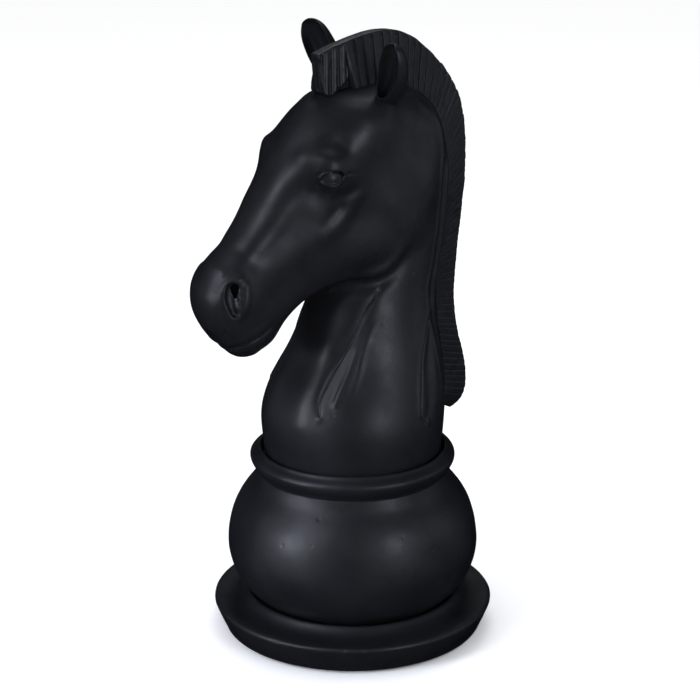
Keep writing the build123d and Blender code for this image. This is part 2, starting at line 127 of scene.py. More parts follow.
def loft_mesh(rings):
    m, k, _ = rings.shape
    v = rings.reshape(-1, 3)
    i, j = np.meshgrid(np.arange(m - 1), np.arange(k), indexing="ij")
    a = i * k + j
    b = i * k + (j + 1) % k
    quads = np.stack([a, b, b + k, a + k], -1).reshape(-1, 4)
    c0, c1 = len(v), len(v) + 1
    v = np.vstack([v, rings[0].mean(0), rings[-1].mean(0)])
    jj = np.arange(k)
    tris = np.concatenate([
        np.stack([np.full(k, c0), (jj + 1) % k, jj], 1),
        np.stack([np.full(k, c1), (m - 1) * k + jj, (m - 1) * k + (jj + 1) % k], 1),
    ])
    return v, quads, tris


rng = np.random.default_rng(11)


def noise3(p, scale, seed=0, octaves=2):
    """Smooth value noise in about -1..1 at points p (n, 3), by trilinear lattice interpolation."""
    out = np.zeros(len(p))
    amp, tot = 1.0, 0.0
    for o in range(octaves):
        q = p / scale * (2**o) + 31.7 * (seed + 1) + 7.3 * o
        i = np.floor(q).astype(np.int64)
        f = q - i
        f = f * f * (3 - 2 * f)
        acc = np.zeros(len(p))
        for dx in (0, 1):
            for dy in (0, 1):
                for dz in (0, 1):
                    h = (i[:, 0] + dx) * 374761393 + (i[:, 1] + dy) * 668265263 + (i[:, 2] + dz) * 2147483647 + seed * 974634777
                    h = (h ^ (h >> 13)) * 1274126177
                    h = h ^ (h >> 16)
                    r = (h & 0xFFFF) / 32767.5 - 1.0
                    w = (f[:, 0] if dx else 1 - f[:, 0]) * (f[:, 1] if dy else 1 - f[:, 1]) * (f[:, 2] if dz else 1 - f[:, 2])
                    acc += w * r
        out += amp * acc
        tot += amp
        amp *= 0.5
    return out / tot * 1.6


def make_object(name, verts_mm, faces, smooth=True):
    me = bpy.data.meshes.new(name)
    me.from_pydata((np.asarray(verts_mm) * MM).tolist(), [], [list(map(int, f)) for f in faces])
    me.validate()
    me.update()
    ob = bpy.data.objects.new(name, me)
    bpy.context.scene.collection.objects.link(ob)
    if smooth:
        me.polygons.foreach_set("use_smooth", np.ones(len(me.polygons), bool))
    return ob


# ------------------------------------------------------------------ head and neck tables
NECK = [
    (149.6, -72.2, 72.2, 72.2), (151.6, -72.3, 72.3, 72.3), (165, -73.5, 73.5, 73.5), (190, -75, 76, 74), (215, -68.5, 78, 68), (240, -56, 77, 59),
    (265, -45, 75.5, 51), (290, -34, 76, 45), (315, -25, 80, 42), (340, -15, 85, 40), (365, -4, 88, 38.5),
    (390, 8, 88, 37), (412, 20, 83, 34), (430, 30, 75, 28), (444, 38, 63, 17),
]
HEAD_O = np.array([0.0, 30.0, 440.0])
HEAD_D = np.array([0.0, -0.739, -0.6735])
HEAD_N = np.array([0.0, -0.6735, 0.739])
HEAD = [
    (-24, 0, (7, -3), (13, -12), (15, -24), (11, -36), -43),
    (-9, 20, (15, 15), (26, 1), (29, -20), (24, -42), -53),
    (8, 33, (20, 28), (34, 7), (36, -22), (30, -54), -68),
    (25, 46, (21, 41), (37, 20), (41, -16), (37, -64), -82),
    (45, 53, (22, 49), (38, 29), (43, -12), (40, -73), -91),
    (64, 55, (22, 51), (40, 34), (43, -4), (42, -77), -93),
    (79, 54, (22, 50), (44, 36), (41, -8), (41, -75), -90),
    (95, 51, (20, 47), (38, 29), (38, -8), (39, -70), -84),
    (112, 47, (17, 43.5), (31, 23), (36, -8), (35, -62), -77),
    (130, 43, (16, 40), (27, 19), (32, -8), (29, -53), -68),
    (150, 39, (15, 35), (24, 16), (27, -8), (23, -45), -59),
    (170, 37, (15.5, 33), (24, 16), (25, -8), (20, -40), -53),
    (188, 37, (17.5, 32), (27.5, 14), (27, -8), (20, -38), -52),
    (204, 35, (18.5, 29.5), (29, 12), (28, -8), (20, -37), -52),
    (217, 29, (17, 24), (26, 7), (26, -11), (18, -33), -47),
    (227, 16, (12, 12), (20, 0), (20, -13), (13, -27), -38),
    (232, 4, (6, 2), (10, -5), (10, -15), (7, -23), -29),
]


def hp(x, s, n):
    """A point given in head coordinates: half width, distance along the axis, height above it."""
    return np.array([x, 0, 0]) + HEAD_O + HEAD_D * s + HEAD_N * n


def neck_rings():
    out = []
    for z, yf, yb, hw in NECK:
        yf = yf + 5.0 * math.exp(-(((z - 238) / 26.0) ** 2))
        yc, a = (yf + yb) / 2, (yb - yf) / 2
        ang = np.radians(np.arange(0, 360, 45))
        r = ring(np.stack([hw * np.sin(ang), yc - a * np.cos(ang)], 1))
        out.append(np.column_stack([r, np.full(len(r), z)]))
    return through([r[0] for r in NECK], out, 1.5)


def head_rings():
    out = []
    for s, nd, p1, p2, p3, p4, nv in HEAD:
        half = [(0.0, nd), p1, p2, p3, p4, (0.0, nv)]
        full = half + [(-x, n) for x, n in half[4:0:-1]]
        r = ring(full)
        out.append(HEAD_O + HEAD_D * s + np.outer(r[:, 1], HEAD_N) + np.outer(r[:, 0], [1, 0, 0]))
    return through([r[0] for r in HEAD], out, 1.5)


# ------------------------------------------------------------------ volume sculpting on a half grid (x >= 0)
VOX = 0.9
PAD = 6
LO = np.array([-PAD * VOX, -168.0, 146.0])
N = np.array([int(90 / VOX) + PAD, int(275 / VOX), int(345 / VOX)])
AX = [LO[i] + VOX * np.arange(N[i]) for i in range(3)]


def field(rings):
    v, q, t = loft_mesh(rings)
    g = openvdb.FloatGrid.createLevelSetFromPolygons(
        ((v - LO) / VOX).astype(np.float32), triangles=t.astype(np.uint32), quads=q.astype(np.uint32),
        transform=openvdb.createLinearTransform(1.0), halfWidth=14.0)
    a = np.empty(tuple(N), np.float32)
    g.copyToArray(a, ijk=(0, 0, 0))
    return a * VOX


def smin(a, b, k):
    h = np.clip(0.5 + 0.5 * (b - a) / k, 0, 1)
    return b + (a - b) * h - k * h * (1 - h)


def smax(a, b, k):
    return -smin(-a, -b, k)


def blur(a, sigma):
    r = int(math.ceil(sigma * 2.5))
    w = np.exp(-0.5 * (np.arange(-r, r + 1) / sigma) ** 2)
    w /= w.sum()
    for ax in range(3):
        pad = [(0, 0)] * 3
        pad[ax] = (r, r)
        p = np.pad(a, pad, mode="edge")
        out = np.zeros_like(a)
        for i, wi in enumerate(w):
            sl = [slice(None)] * 3
            sl[ax] = slice(i, i + a.shape[ax])
            out += wi * p[tuple(sl)]
        a = out
    return a


class Clay:
    """The half-grid distance field with brush strokes."""

    def __init__(self, d):
        self.d = d

    def window(self, lo, hi):
        sl = []
        for i in range(3):
            a = int(max(0, math.floor((lo[i] - LO[i]) / VOX)))
            b = int(min(N[i], math.ceil((hi[i] - LO[i]) / VOX) + 1))
            if b <= a:
                return None, None
            sl.append(slice(a, b))
        X = np.stack(np.meshgrid(*[AX[i][sl[i]] for i in range(3)], indexing="ij"), -1)
        return tuple(sl), X

    def sample(self, p):
        """The field at any points, by straight interpolation; the left half mirrors the right."""
        p = np.array(p, float)
        q = (np.column_stack([np.abs(p[:, 0]), p[:, 1], p[:, 2]]) - LO) / VOX
        q = np.clip(q, 0, N - 1.001)
        i = np.floor(q).astype(int)
        f = q - i
        out = 0
        for a in (0, 1):
            for b in (0, 1):
                for c in (0, 1):
                    w = (f[:, 0] if a else 1 - f[:, 0]) * (f[:, 1] if b else 1 - f[:, 1]) * (f[:, 2] if c else 1 - f[:, 2])
                    out = out + w * self.d[i[:, 0] + a, i[:, 1] + b, i[:, 2] + c]
        return out

    def snap(self, pts, depth=0.0, n=None):
        """Moves points along the surface normal until they lie at the stated depth below the surface."""
        P = np.array(pts, float)
        if n:
            P = curve(P, n)
        e = 1.2
        for _ in range(6):
            v = self.sample(P)
            g = np.column_stack([(self.sample(P + o) - self.sample(P - o)) / (2 * e) for o in (np.array([e, 0, 0]), np.array([0, e, 0]), np.array([0, 0, e]))])
            g = g / (np.linalg.norm(g, axis=1)[:, None] + 1e-6)
            P = P - g * (v + depth)[:, None] * 0.9
        return P

    def soften(self, centre, reach, sigma):
        """Smooths the surface round a place, fading out at its reach."""
        c = np.array(centre, float)
        sl, X = self.window(c - reach * 1.6, c + reach * 1.6)
        if sl is None:
            return
        w = np.exp(-(((X - c) ** 2).sum(-1) / reach**2) ** 1.5)
        self.d[sl] = (self.d[sl] * (1 - w) + blur(self.d[sl], sigma / VOX) * w).astype(np.float32)

    def apply(self, lo, hi, fn):
        sl, X = self.window(np.array(lo, float), np.array(hi, float))
        if sl is not None:
            self.d[sl] = fn(self.d[sl], X).astype(np.float32)

    def stroke(self, pts, radius, height, taper=None, stretch=None):
        """Raises (height > 0) or sinks the surface along a polyline; radius and height may vary along it."""
        P = np.atleast_2d(np.array(pts, float))
        if len(P) > 2:
            P = curve(P, max(8, len(P) * 6))
        R = np.broadcast_to(np.array(radius, float), (len(np.atleast_1d(radius)),)) if np.ndim(radius) else np.array([radius, radius], float)
        H = np.array(height, float) if np.ndim(height) else np.array([height, height], float)
        n = len(P)
        if n == 1:
            P = np.vstack([P, P + 1e-3])
            n = 2
        tt = np.linspace(0, 1, n)
        Rn = np.interp(tt, np.linspace(0, 1, len(R)), R)
        Hn = np.interp(tt, np.linspace(0, 1, len(H)), H)
        m = Rn.max() * 2.6
        sl, X = self.window(P.min(0) - m, P.max(0) + m)
        if sl is None:
            return
        best = np.full(X.shape[:3], 1e9, np.float32)
        rr = np.full(X.shape[:3], Rn[0], np.float32)
        hh = np.zeros(X.shape[:3], np.float32)
        for i in range(n - 1):
            a, b = P[i], P[i + 1]
            ab = b - a
            t = np.clip(((X - a) @ ab) / max(ab @ ab, 1e-9), 0, 1)
            d2 = ((X - a - t[..., None] * ab) ** 2).sum(-1)
            k = d2 < best
            best = np.where(k, d2, best)
            rr = np.where(k, Rn[i] + (Rn[i + 1] - Rn[i]) * t, rr)
            hh = np.where(k, Hn[i] + (Hn[i + 1] - Hn[i]) * t, hh)
        self.d[sl] -= (hh * np.exp(-best / (rr * rr))).astype(np.float32)

    def blob(self, centre, radii, axes, k=2.0, cut=False):
        """Smoothly joins (or cuts) an ellipsoid with radii along the rows of axes."""
        c, r, A = np.array(centre, float), np.array(radii, float), np.array(axes, float)
        m = r.max() + 3 * k + 2
        sl, X = self.window(c - m, c + m)
        if sl is None:
            return
        q = (X - c) @ A.T
        k0 = np.sqrt(((q / r) ** 2).sum(-1))
        k1 = np.sqrt(((q / (r * r)) ** 2).sum(-1)) + 1e-9
        e = k0 * (k0 - 1) / k1
        self.d[sl] = smax(self.d[sl], -e, k) if cut else smin(self.d[sl], e, k)

    def tube(self, pts, radius, k=1.5, cut=False):
        """Smoothly joins (or cuts) a round bead along a smooth curve."""
        P = curve(pts, max(10, len(pts) * 6)) if len(pts) > 2 else np.array(pts, float)
        R = np.interp(np.linspace(0, 1, len(P)), np.linspace(0, 1, len(np.atleast_1d(radius))), np.atleast_1d(radius))
        m = R.max() + 3 * k + 2
        sl, X = self.window(P.min(0) - m, P.max(0) + m)
        if sl is None:
            return
        e = np.full(X.shape[:3], 1e9)
        for i in range(len(P) - 1):
            a, b = P[i], P[i + 1]
            ab = b - a
            t = np.clip(((X - a) @ ab) / max(ab @ ab, 1e-9), 0, 1)
            dd = np.sqrt(((X - a - t[..., None] * ab) ** 2).sum(-1)) - (R[i] + (R[i + 1] - R[i]) * t)
            e = np.minimum(e, dd)
        self.d[sl] = smax(self.d[sl], -e, k) if cut else smin(self.d[sl], e, k)


def unit(v):
    v = np.array(v, float)
    return v / np.linalg.norm(v)


def sculpt_head():
    neck = field(neck_rings())
    head = field(head_rings())
    d = smin(neck, head, 9.0)
    d = blur(d, 1.6 / VOX)
    clay = Clay(d)
    strokes(clay)
    return carve(clay.d)


def carve(d):
    """Opens the head from below: recess for the neck plate, bore above it, walls at least 5 mm thick."""
    X, Y, Z = AX[0][:, None, None], AX[1][None, :, None], AX[2][None, None, :]
    r = np.sqrt(X * X + Y * Y)
    recess = np.maximum(r - 64.6, Z - 158.6)
    bore = np.maximum(r - np.interp(Z, [158, 176, 224], [50.0, 50.0, 42.0]), Z - 221.0)
    hole = np.minimum(np.maximum(recess, d + 4.0), np.maximum(bore, d + 5.0))
    d = np.maximum(d, -hole)
    return np.maximum(d, 151.7 - Z).astype(np.float32)


def strokes(clay):
    # ---- forehead and face planes round the eye
    clay.stroke([(0, -8, 459), (0, -28, 455.5), (0, -44, 446.5), (0, -60, 432)], [18, 18, 18, 18], [0.4, 2.4, 3.4, 1.8])
    clay.soften((36, -16, 441), 26, 4.5)
    clay.stroke([(36.5, -42, 424), (33.5, -50, 421.5)], [8.0, 8.0], [-3.0, -2.8])                 # hollow above the eye
    clay.stroke([(33, -3, 447), (35.5, -18, 442), (36, -29, 434.5)], [18, 18, 15], [0.8, 1.4, 0.8])  # temple, below the ear
    clay.stroke([(33.5, -9, 449), (36.5, -18, 443), (38.5, -27, 435)], [13, 14, 12], [2.4, 3.0, 1.4])
    clay.soften((37, -20, 440), 20, 3.6)
    clay.stroke([(41, -2, 434), (42.5, -14, 425)], 17, 3.4)
    for sv, x, n, k in ((104, 34, 23, 15), (120, 29.5, 20, 15), (138, 26, 17, 14), (156, 24, 15, 13)):
        clay.soften(hp(x, sv, n), k, 3.6)
    clay.stroke([hp(32, 116, -2), hp(27, 136, -1), hp(23.5, 156, 1), hp(22, 170, 3)], 13, [1.6, 2.4, 2.2, 0.8])  # flat of the cheek
    clay.stroke([(34, 11, 451)], 11, 3.0)                                                         # root of the ear
    clay.stroke([(36, -56, 413), (28, -67, 409), (21, -78, 399), (14, -90, 388)], [11, 12, 12, 11], [1.8, 1.9, 0.9, 0.2])  # orbital rim, forward
    clay.stroke([(24.5, -67.5, 416)], 7.5, 1.7)                                    # brow
    clay.stroke([(34, -61, 388)], 8, -3.0)                                         # hollow in front of and below the eye
    clay.stroke([(27.5, -74, 386), (23.5, -84, 378), (21.0, -94, 366), (19.8, -104, 355), (19.5, -111, 347)], [8, 9, 9, 9, 8], [0.8, 2.0, 2.2, 1.8, 0.8])  # side plane of the nose
    for q in ((19.5, -83, 392), (15.5, -94, 379), (14.5, -104, 366)):
        clay.soften(q, 15, 3.0)
    clay.soften((30.5, -66.5, 380), 12, 3.2)
    clay.stroke([(38, -57, 396)], 5.5, -1.6)                                       # inner corner
    clay.stroke([(41, -26, 381), (38.5, -34, 372), (36, -43, 361), (33.5, -54, 353)], [7, 7, 7, 7], [1.2, 2.0, 1.8, 0.6])  # cheek bone
    clay.stroke([(36.5, -42, 374), (33, -53, 362)], [6, 6], [-1.4, -1.0])
    clay.stroke([(43, -32, 387), (40, -46, 382)], [4.5, 4.5], [-1.2, -1.5])        # under the lower lid
    # ---- eye
    c = np.array([34.0, -50.2, 400.4])
    out = unit((0.965, -0.25, 0.1))
    fwd = unit(np.cross((0, 0, 1.0), out)) * -1.0
    if fwd[1] > 0:
        fwd = -fwd
    fwd = unit(fwd + np.array([0, 0, -0.10]))
    up = unit(np.cross(fwd, out))
    if up[2] < 0:
        up = -up
    R = 11.2

    def on_ball(a, b, lift=0.0):
        r = math.sqrt(max(1.0, R * R - a * a - b * b))
        return c + fwd * a + up * b + out * (r + lift)

    def lid(a, top):
        """Height of the lid edge above or below the middle, along the eye."""
        t = max(0.0, 1 - (a / 9.3) ** 2)
        return -0.03 * a + (5.5 * t**0.62 if top else -5.2 * t**0.75)

    clay.stroke([c + out * 11.0], 10.0, 1.0)

    def socket(d, X):
        q = X - c
        a, b, o = q @ fwd, q @ up, q @ out
        t = np.clip(1 - (a / 9.3) ** 2, 0, 1)
        bb = b + 0.03 * a
        r = np.sqrt((q**2).sum(-1))
        open_ = np.maximum(np.maximum(np.maximum(bb - 5.2 * t**0.62, -5.0 * t**0.75 - bb), R - 0.7 - r), 2.0 - o)
        d = smax(d, -open_, 0.5)
        return smin(d, r - R, 0.25)

    A = np.linspace(9.6, -9.6, 15)
    edge_u = [on_ball(a, lid(a, True) + 1.1, 1.15) for a in A]
    edge_l = [on_ball(a, lid(a, False) - 0.9, 0.8) for a in A]
    clay.tube(edge_u, [0.8, 1.4, 1.75, 1.9, 1.8, 1.5, 0.9], k=1.1)
    clay.tube(edge_l, [0.8, 1.2, 1.4, 1.5, 1.4, 1.2, 0.8], k=1.1)
    clay.apply(c - 16, c + 16, socket)
    fold = [on_ball(9.6, 4.6, 0.6), on_ball(4.5, 8.8, 1.2), on_ball(-2.5, 9.6, 1.5), on_ball(-8.8, 6.0, 1.6), on_ball(-11.0, 1.4, 2.2)]
    clay.tube(clay.snap(fold, 0.0), [0.4, 0.7, 0.75, 0.7, 0.4], k=0.7, cut=True)                     # fold over the upper lid
    clay.stroke(clay.snap([on_ball(9.5, 7.5, 0), on_ball(1.5, 11.0, 0), on_ball(-7.5, 9.0, 0)], 0.0), [2.2, 2.6, 2.2], [0.5, 1.0, 0.6])
    back = clay.snap([on_ball(-9.4, 1.6, 1.0), (45.6, -37, 402.5), (45.4, -30, 401.0)], 0.0)
    clay.tube(back, [0.8, 0.6, 0.3], k=0.8, cut=True)                                                   # crease behind the eye
    clay.stroke(clay.snap([on_ball(8, -8.2, 0), on_ball(0, -10.0, 0), on_ball(-8, -7.4, 0)], 0.0), [2.0, 2.2, 2.0], [0.5, 0.9, 0.5])  # bag under the lower lid
    duct = clay.snap([on_ball(9.2, -1.4, 0.6), on_ball(10.6, -4.0, 0.6), (36.4, -62.2, 394.4)], 0.0)
    clay.tube(duct, [0.8, 0.9, 0.5], k=0.8, cut=True)                                                   # tear duct
    clay.stroke([q + np.array([0.6, -1.0, -2.2]) for q in duct], [1.8, 1.8, 1.6], [0.5, 0.9, 0.5])
    clay.soften((34.5, -46, 422), 11, 2.4)
    # ---- nostril and muzzle
    clay.stroke([(25.5, -129, 330), (20.5, -137, 326), (18.6, -140.5, 318), (19.6, -140, 309)], [3.8, 3.8, 3.8, 3.6], [1.8, 2.2, 2.0, 0.8])       # wing in front
    clay.stroke([(29.5, -124, 325), (30.5, -125.5, 315), (29.0, -128, 305), (25.5, -131, 299.5)], [3.8, 3.8, 3.8, 3.4], [1.8, 2.2, 1.9, 1.0])        # wing behind
    clay.stroke([(24.0, -129, 331)], 5.0, 1.0)
    clay.tube([(25.0, -135.4, 323.5), (26.0, -136.8, 316.5), (26.6, -135.6, 309.0), (25.8, -134.0, 304.0)], [5.4, 5.8, 5.0, 3.2], k=1.0, cut=True)
    clay.tube([(20.0, -128.5, 322.5), (20.6, -128.8, 316.5)], [4.8, 3.6], k=1.2, cut=True)
    clay.tube([(24.0, -129.6, 312.5), (24.6, -130.2, 308.0), (24.4, -130.4, 303.5)], [1.6, 2.6, 1.4], k=1.6)           # fold inside
    clay.stroke([(13, -139, 336), (0, -142, 338)], [6, 7], [1.3, 1.6])               # step above the nostrils
    clay.stroke([(22, -112, 340), (14, -122, 350)], [8, 7], [-1.2, -1.0])            # hollow above the nostril
    # ---- mouth and chin
    m = [(-3, -130.0, 267.6), (6, -129.2, 268.2), (14, -126.6, 271.4), (20, -120, 274.6), (23.4, -112, 277.8), (24.4, -104, 281.6), (24.0, -99, 285.0)]
    clay.tube(m, [1.1, 1.2, 1.3, 1.4, 1.4, 1.3, 0.7], k=1.3, cut=True)
    clay.stroke([(10, -124, 264.5), (17, -117, 269), (21, -108, 273.5), (22.5, -100, 277.5)], [3.2, 3.2, 3.2, 3.0], [1.4, 1.7, 1.6, 0.8])      # lower lip
    clay.stroke([(8, -131, 275), (17, -128, 279), (23, -118, 283), (25, -107, 287)], [4.0, 4.0, 4.0, 3.5], [0.9, 1.0, 1.0, 0.6])              # upper lip
    clay.stroke([(0, -112, 262), (10, -108, 263)], [8, 7], [3.0, 2.4])                                        # chin
    clay.stroke([(17, -100, 270.5), (19.5, -92, 276)], [4, 4], [-1.8, -1.4])                                    # behind the chin
    clay.tube([(21.5, -138.6, 296.5), (17.0, -137.6, 284.0), (12.0, -134.5, 275.5)], [0.35, 0.45, 0.3], k=1.2, cut=True)                            # lip seam
    # ---- jowl and throat
    for sv in (146, 160, 174, 188):
        nv = float(np.interp(sv, [r[0] for r in HEAD], [r[6] for r in HEAD]))
        clay.stroke([hp(0, sv, nv), hp(15, sv, nv + 5)], [12, 11], [-2.2, -1.6])
    j = [(20, -62, 300), (22.5, -49, 305), (26.5, -37, 310.5), (30, -22, 311.5), (35, -8, 312.5), (39.5, 5, 317.5), (43, 13, 325), (46.0, 20, 338), (46.5, 23, 352)]
    clay.stroke(j, [4.5, 5, 5.5, 6, 6, 6, 6, 6.5, 7], [0.6, 1.0, 1.6, 2.2, 2.6, 2.4, 1.8, 1.0, 0.3])
    g = [(19, -58, 293), (22, -44, 299), (26, -30, 302.5), (31, -16, 303.5), (37, -1, 306), (42, 11, 313), (46.5, 21, 326)]
    clay.stroke(g, [5, 6, 6, 6, 5.5, 5, 5], [-1.2, -2.6, -3.8, -4.2, -3.6, -2.2, -0.8])
    # ---- neck: the strap muscle between its two grooves
    ga = [(41.0, 10.5, 318.7), (38.6, -2.3, 299.8), (37.1, -16.5, 279.9), (34.8, -30.7, 261.3), (33.5, -44.7, 238.8), (32.6, -55.6, 221.6), (33.4, -60.2, 211.9), (36.7, -61.6, 203.6)]
    G = [(41.5, 9.5, 321), (38.2, -3.6, 300.2), (37.2, -18.8, 278.2), (35.4, -34.3, 255.8), (33.6, -44.8, 242.6), (33.2, -55.6, 227.2), (34.0, -61.4, 212.8), (36.4, -62.2, 206.5)]
    wind = [(23, -32, 268), (21.5, -46.5, 251.7), (21.5, -57.0, 232.5), (22, -66.0, 215.9), (22.4, -70.5, 200.3)]
    clay.stroke(wind, [8, 10, 11, 12, 12], [0.8, 2.0, 2.8, 3.2, 1.6])                                     # windpipe side, lit
    clay.soften((22, -52, 240), 20, 3.2)
    clay.soften((23, -66, 212), 18, 3.2)
    clay.stroke(clay.snap(G, 0.0), [2.0, 3.5, 4.5, 5.0, 5.0, 5.0, 4.5, 3.0], [-0.2, -0.5, -0.8, -1.1, -1.3, -1.3, -1.0, -0.3])
    clay.stroke([(45.5, -16, 266), (46.0, -29, 246.0), (46.5, -42, 226), (47.0, -50, 212)], [7, 8, 8.5, 8], [0.3, 0.6, 0.9, 0.5])  # strap
    clay.tube(clay.snap(G, 0.1), [0.45, 0.95, 1.1, 1.2, 1.25, 1.25, 1.15, 0.9], k=0.55, cut=True)
    clay.stroke(clay.snap([(36.8, -62.6, 203.6)], 0.0), 2.2, 0.9)                                           # knob at its lower end
    clay.stroke(clay.snap([(40.7, -28.3, 254.0), (42.1, -37.4, 239.6), (43.1, -45.2, 228.2), (43.6, -51.5, 216.5)], 0.0), [1.5, 2.1, 2.5, 2.6], [0.3, 1.0, 1.5, 1.6])
    clay.stroke(clay.snap([(43.6, -9.5, 276.0), (44.6, -21.3, 259.5), (46.4, -29.7, 239.2), (48.2, -38.0, 222.7)], 0.0), [2.4, 2.8, 3.0, 3.0], [0.2, 0.7, 0.8, 0.3])
    for q, r in (((44.4, -54.6, 207.6), 0.5), ((42.6, -55.4, 209.4), 0.2)):
        clay.stroke(clay.snap([q], 0.0), r + 0.6, -0.8)
    # ---- neck: long drop-shaped hollow beside the mane
    tear = [(40.8, 50.5, 284), (41.5, 48.5, 277.4), (47.8, 37.6, 260.4), (57.2, 25.9, 239.2), (65.9, 18.0, 214.5), (71.1, 15.0, 199.7), (72.0, 19.0, 191.2)]
    clay.stroke(clay.snap([(44, 46, 268), (52, 38, 248), (60.5, 31, 226), (67.0, 27, 206), (70.5, 23, 197)], 0.0), [2.0, 4.0, 6.5, 7.0, 4.5], [-0.4, -1.2, -2.0, -1.8, -0.8])
    clay.tube(clay.snap(tear, 0.15), [0.4, 0.8, 1.0, 1.15, 1.2, 1.1, 0.8], k=0.6, cut=True)
    clay.stroke(clay.snap([q + np.array([1.4, -2.6, 0]) for q in np.array(tear)[1:6]], 0.0), [1.8, 2.0, 2.2, 2.2, 2.0], [0.3, 0.8, 1.0, 1.0, 0.6])
    clay.stroke(clay.snap([(71.6, 22.5, 192.5)], 0.0), 2.3, 1.6)
    # ---- crest of the neck under the mane: a rounded shoulder with a valley behind it
    crest = [(22, 44, 446), (27, 58, 432), (30, 68, 410), (31, 71.5, 387), (31, 69.5, 359), (31, 66.5, 327), (34, 62, 300), (39, 56, 276)]
    clay.stroke(crest, [5, 5, 5, 5, 5, 5, 5, 5], [0.8, 1.6, 2.2, 2.4, 2.4, 2.2, 1.6, 0.8])
    rim = [(7.4, 43.9, 455.6), (15.6, 51.6, 448.7), (21.3, 59.3, 439.7), (28.3, 60.8, 431.1), (31.7, 63.3, 420.8), (33.0, 64.4, 410.3), (33.6, 65.1, 399.6),
           (35.2, 62.9, 386.3), (36.1, 61.3, 373.6), (35.5, 60.0, 354.6), (35.4, 58.2, 337.4), (36.3, 54.6, 321.6), (37.7, 50.5, 305.9), (40.0, 45.7, 294.8),
           (41.6, 44.5, 282.8), (44.2, 44.6, 266.5), (47.2, 46.5, 249.9), (51.1, 48.2, 231.7), (54.4, 49.5, 212.6), (55.6, 49.7, 201.7)]
    line = clay.snap(rim, 0.0)
    clay.stroke([q + np.array([-1.0, 6.5, 0]) for q in line], 3.6, -1.8)
    clay.tube(clay.snap(rim, 1.5), [0.6, 1.2, 1.8, 2.1, 2.1, 2.1, 2.1, 2.1, 2.1, 2.1, 2.0, 2.0, 2.0, 2.0, 2.0, 2.0, 2.0, 1.9, 1.6, 0.9], k=2.2)


def mesh_from_half(d):
    """Mirrors the half field at x = 0 and extracts the surface, in millimetres."""
    full = np.concatenate([d[:PAD:-1], d[PAD:]], 0)
    g = openvdb.FloatGrid(3.0 * VOX)
    band = np.clip(full, -3.0 * VOX, 3.0 * VOX)
    g.copyFromArray(band.astype(np.float32))
    pts, quads = g.convertToQuads(0.0)
    pts = pts.astype(float)
    x0 = -(d.shape[0] - 1 - PAD) * VOX
    v = np.column_stack([x0 + pts[:, 0] * VOX, LO[1] + pts[:, 1] * VOX, LO[2] + pts[:, 2] * VOX])
    return v, quads[:, ::-1]


head_d = sculpt_head()
hv, hq = mesh_from_half(head_d)
print("head mesh", len(hv), len(hq), hv.min(0), hv.max(0))
head = make_object("head_casting", hv, hq)
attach(head, "head")
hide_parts("head_shell")
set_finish(head, "black_casting")


# ------------------------------------------------------------------ small volumes: ears and forelock


def small_volume(name, lo, hi, step, fn):
    """Meshes the zero surface of fn(points) inside a box, in millimetres."""
    lo, hi = np.array(lo, float), np.array(hi, float)
    n = np.ceil((hi - lo) / step).astype(int) + 1
    ax = [lo[i] + step * np.arange(n[i]) for i in range(3)]
    X = np.stack(np.meshgrid(*ax, indexing="ij"), -1)
    d = fn(X.reshape(-1, 3)).reshape(X.shape[:3])
    d = blur(d.astype(np.float32), 0.9)
    d = np.clip(d, -3 * step, 3 * step)
    for i in range(3):
        sl = [slice(None)] * 3
        sl[i] = 0
        d[tuple(sl)] = 3 * step
        sl[i] = -1
        d[tuple(sl)] = 3 * step
    g = openvdb.FloatGrid(3.0 * step)
    g.copyFromArray(d)
    pts, quads = g.convertToQuads(0.0)
    return lo + pts.astype(float) * step, quads[:, ::-1]


def along(points, t, u):
    """Interpolates table columns smoothly at u."""
    P = np.array(points, float)
    M = spline_coeff(np.array(t, float), P, False)
    return spline_at(np.array(t, float), P, M, np.clip(u, t[0], t[-1]))


EAR_LINE = [  # z, centre x, centre y, half width, half depth, cup shift, cup width, cup depth
    (430, 22.0, 18.0, 6.0, 6.0, 0.0, 0.5, 0.5),
    (442, 26.0, 15.5, 6.4, 7.0, 0.0, 0.5, 0.5),
    (450, 30.6, 13.2, 8.6, 9.0, 1.5, 1.0, 1.0),
    (456, 35.0, 11.8, 10.6, 10.8, 4.6, 4.8, 6.0),
    (465, 40.3, 9.2, 12.2, 11.8, 5.4, 8.8, 8.8),
    (473, 43.6, 7.2, 12.8, 11.8, 5.6, 10.4, 9.8),
    (481, 46.3, 5.3, 12.6, 11.2, 5.4, 10.6, 9.6),
    (488, 48.4, 3.6, 11.4, 10.0, 4.8, 9.7, 8.6),
    (494, 49.8, 2.3, 9.4, 8.4, 4.0, 7.9, 7.2),
    (498, 50.6, 1.4, 6.9, 6.4, 3.2, 5.5, 5.3),
    (500.8, 51.0, 0.9, 3.2, 3.0, 1.8, 1.6, 1.6),
]


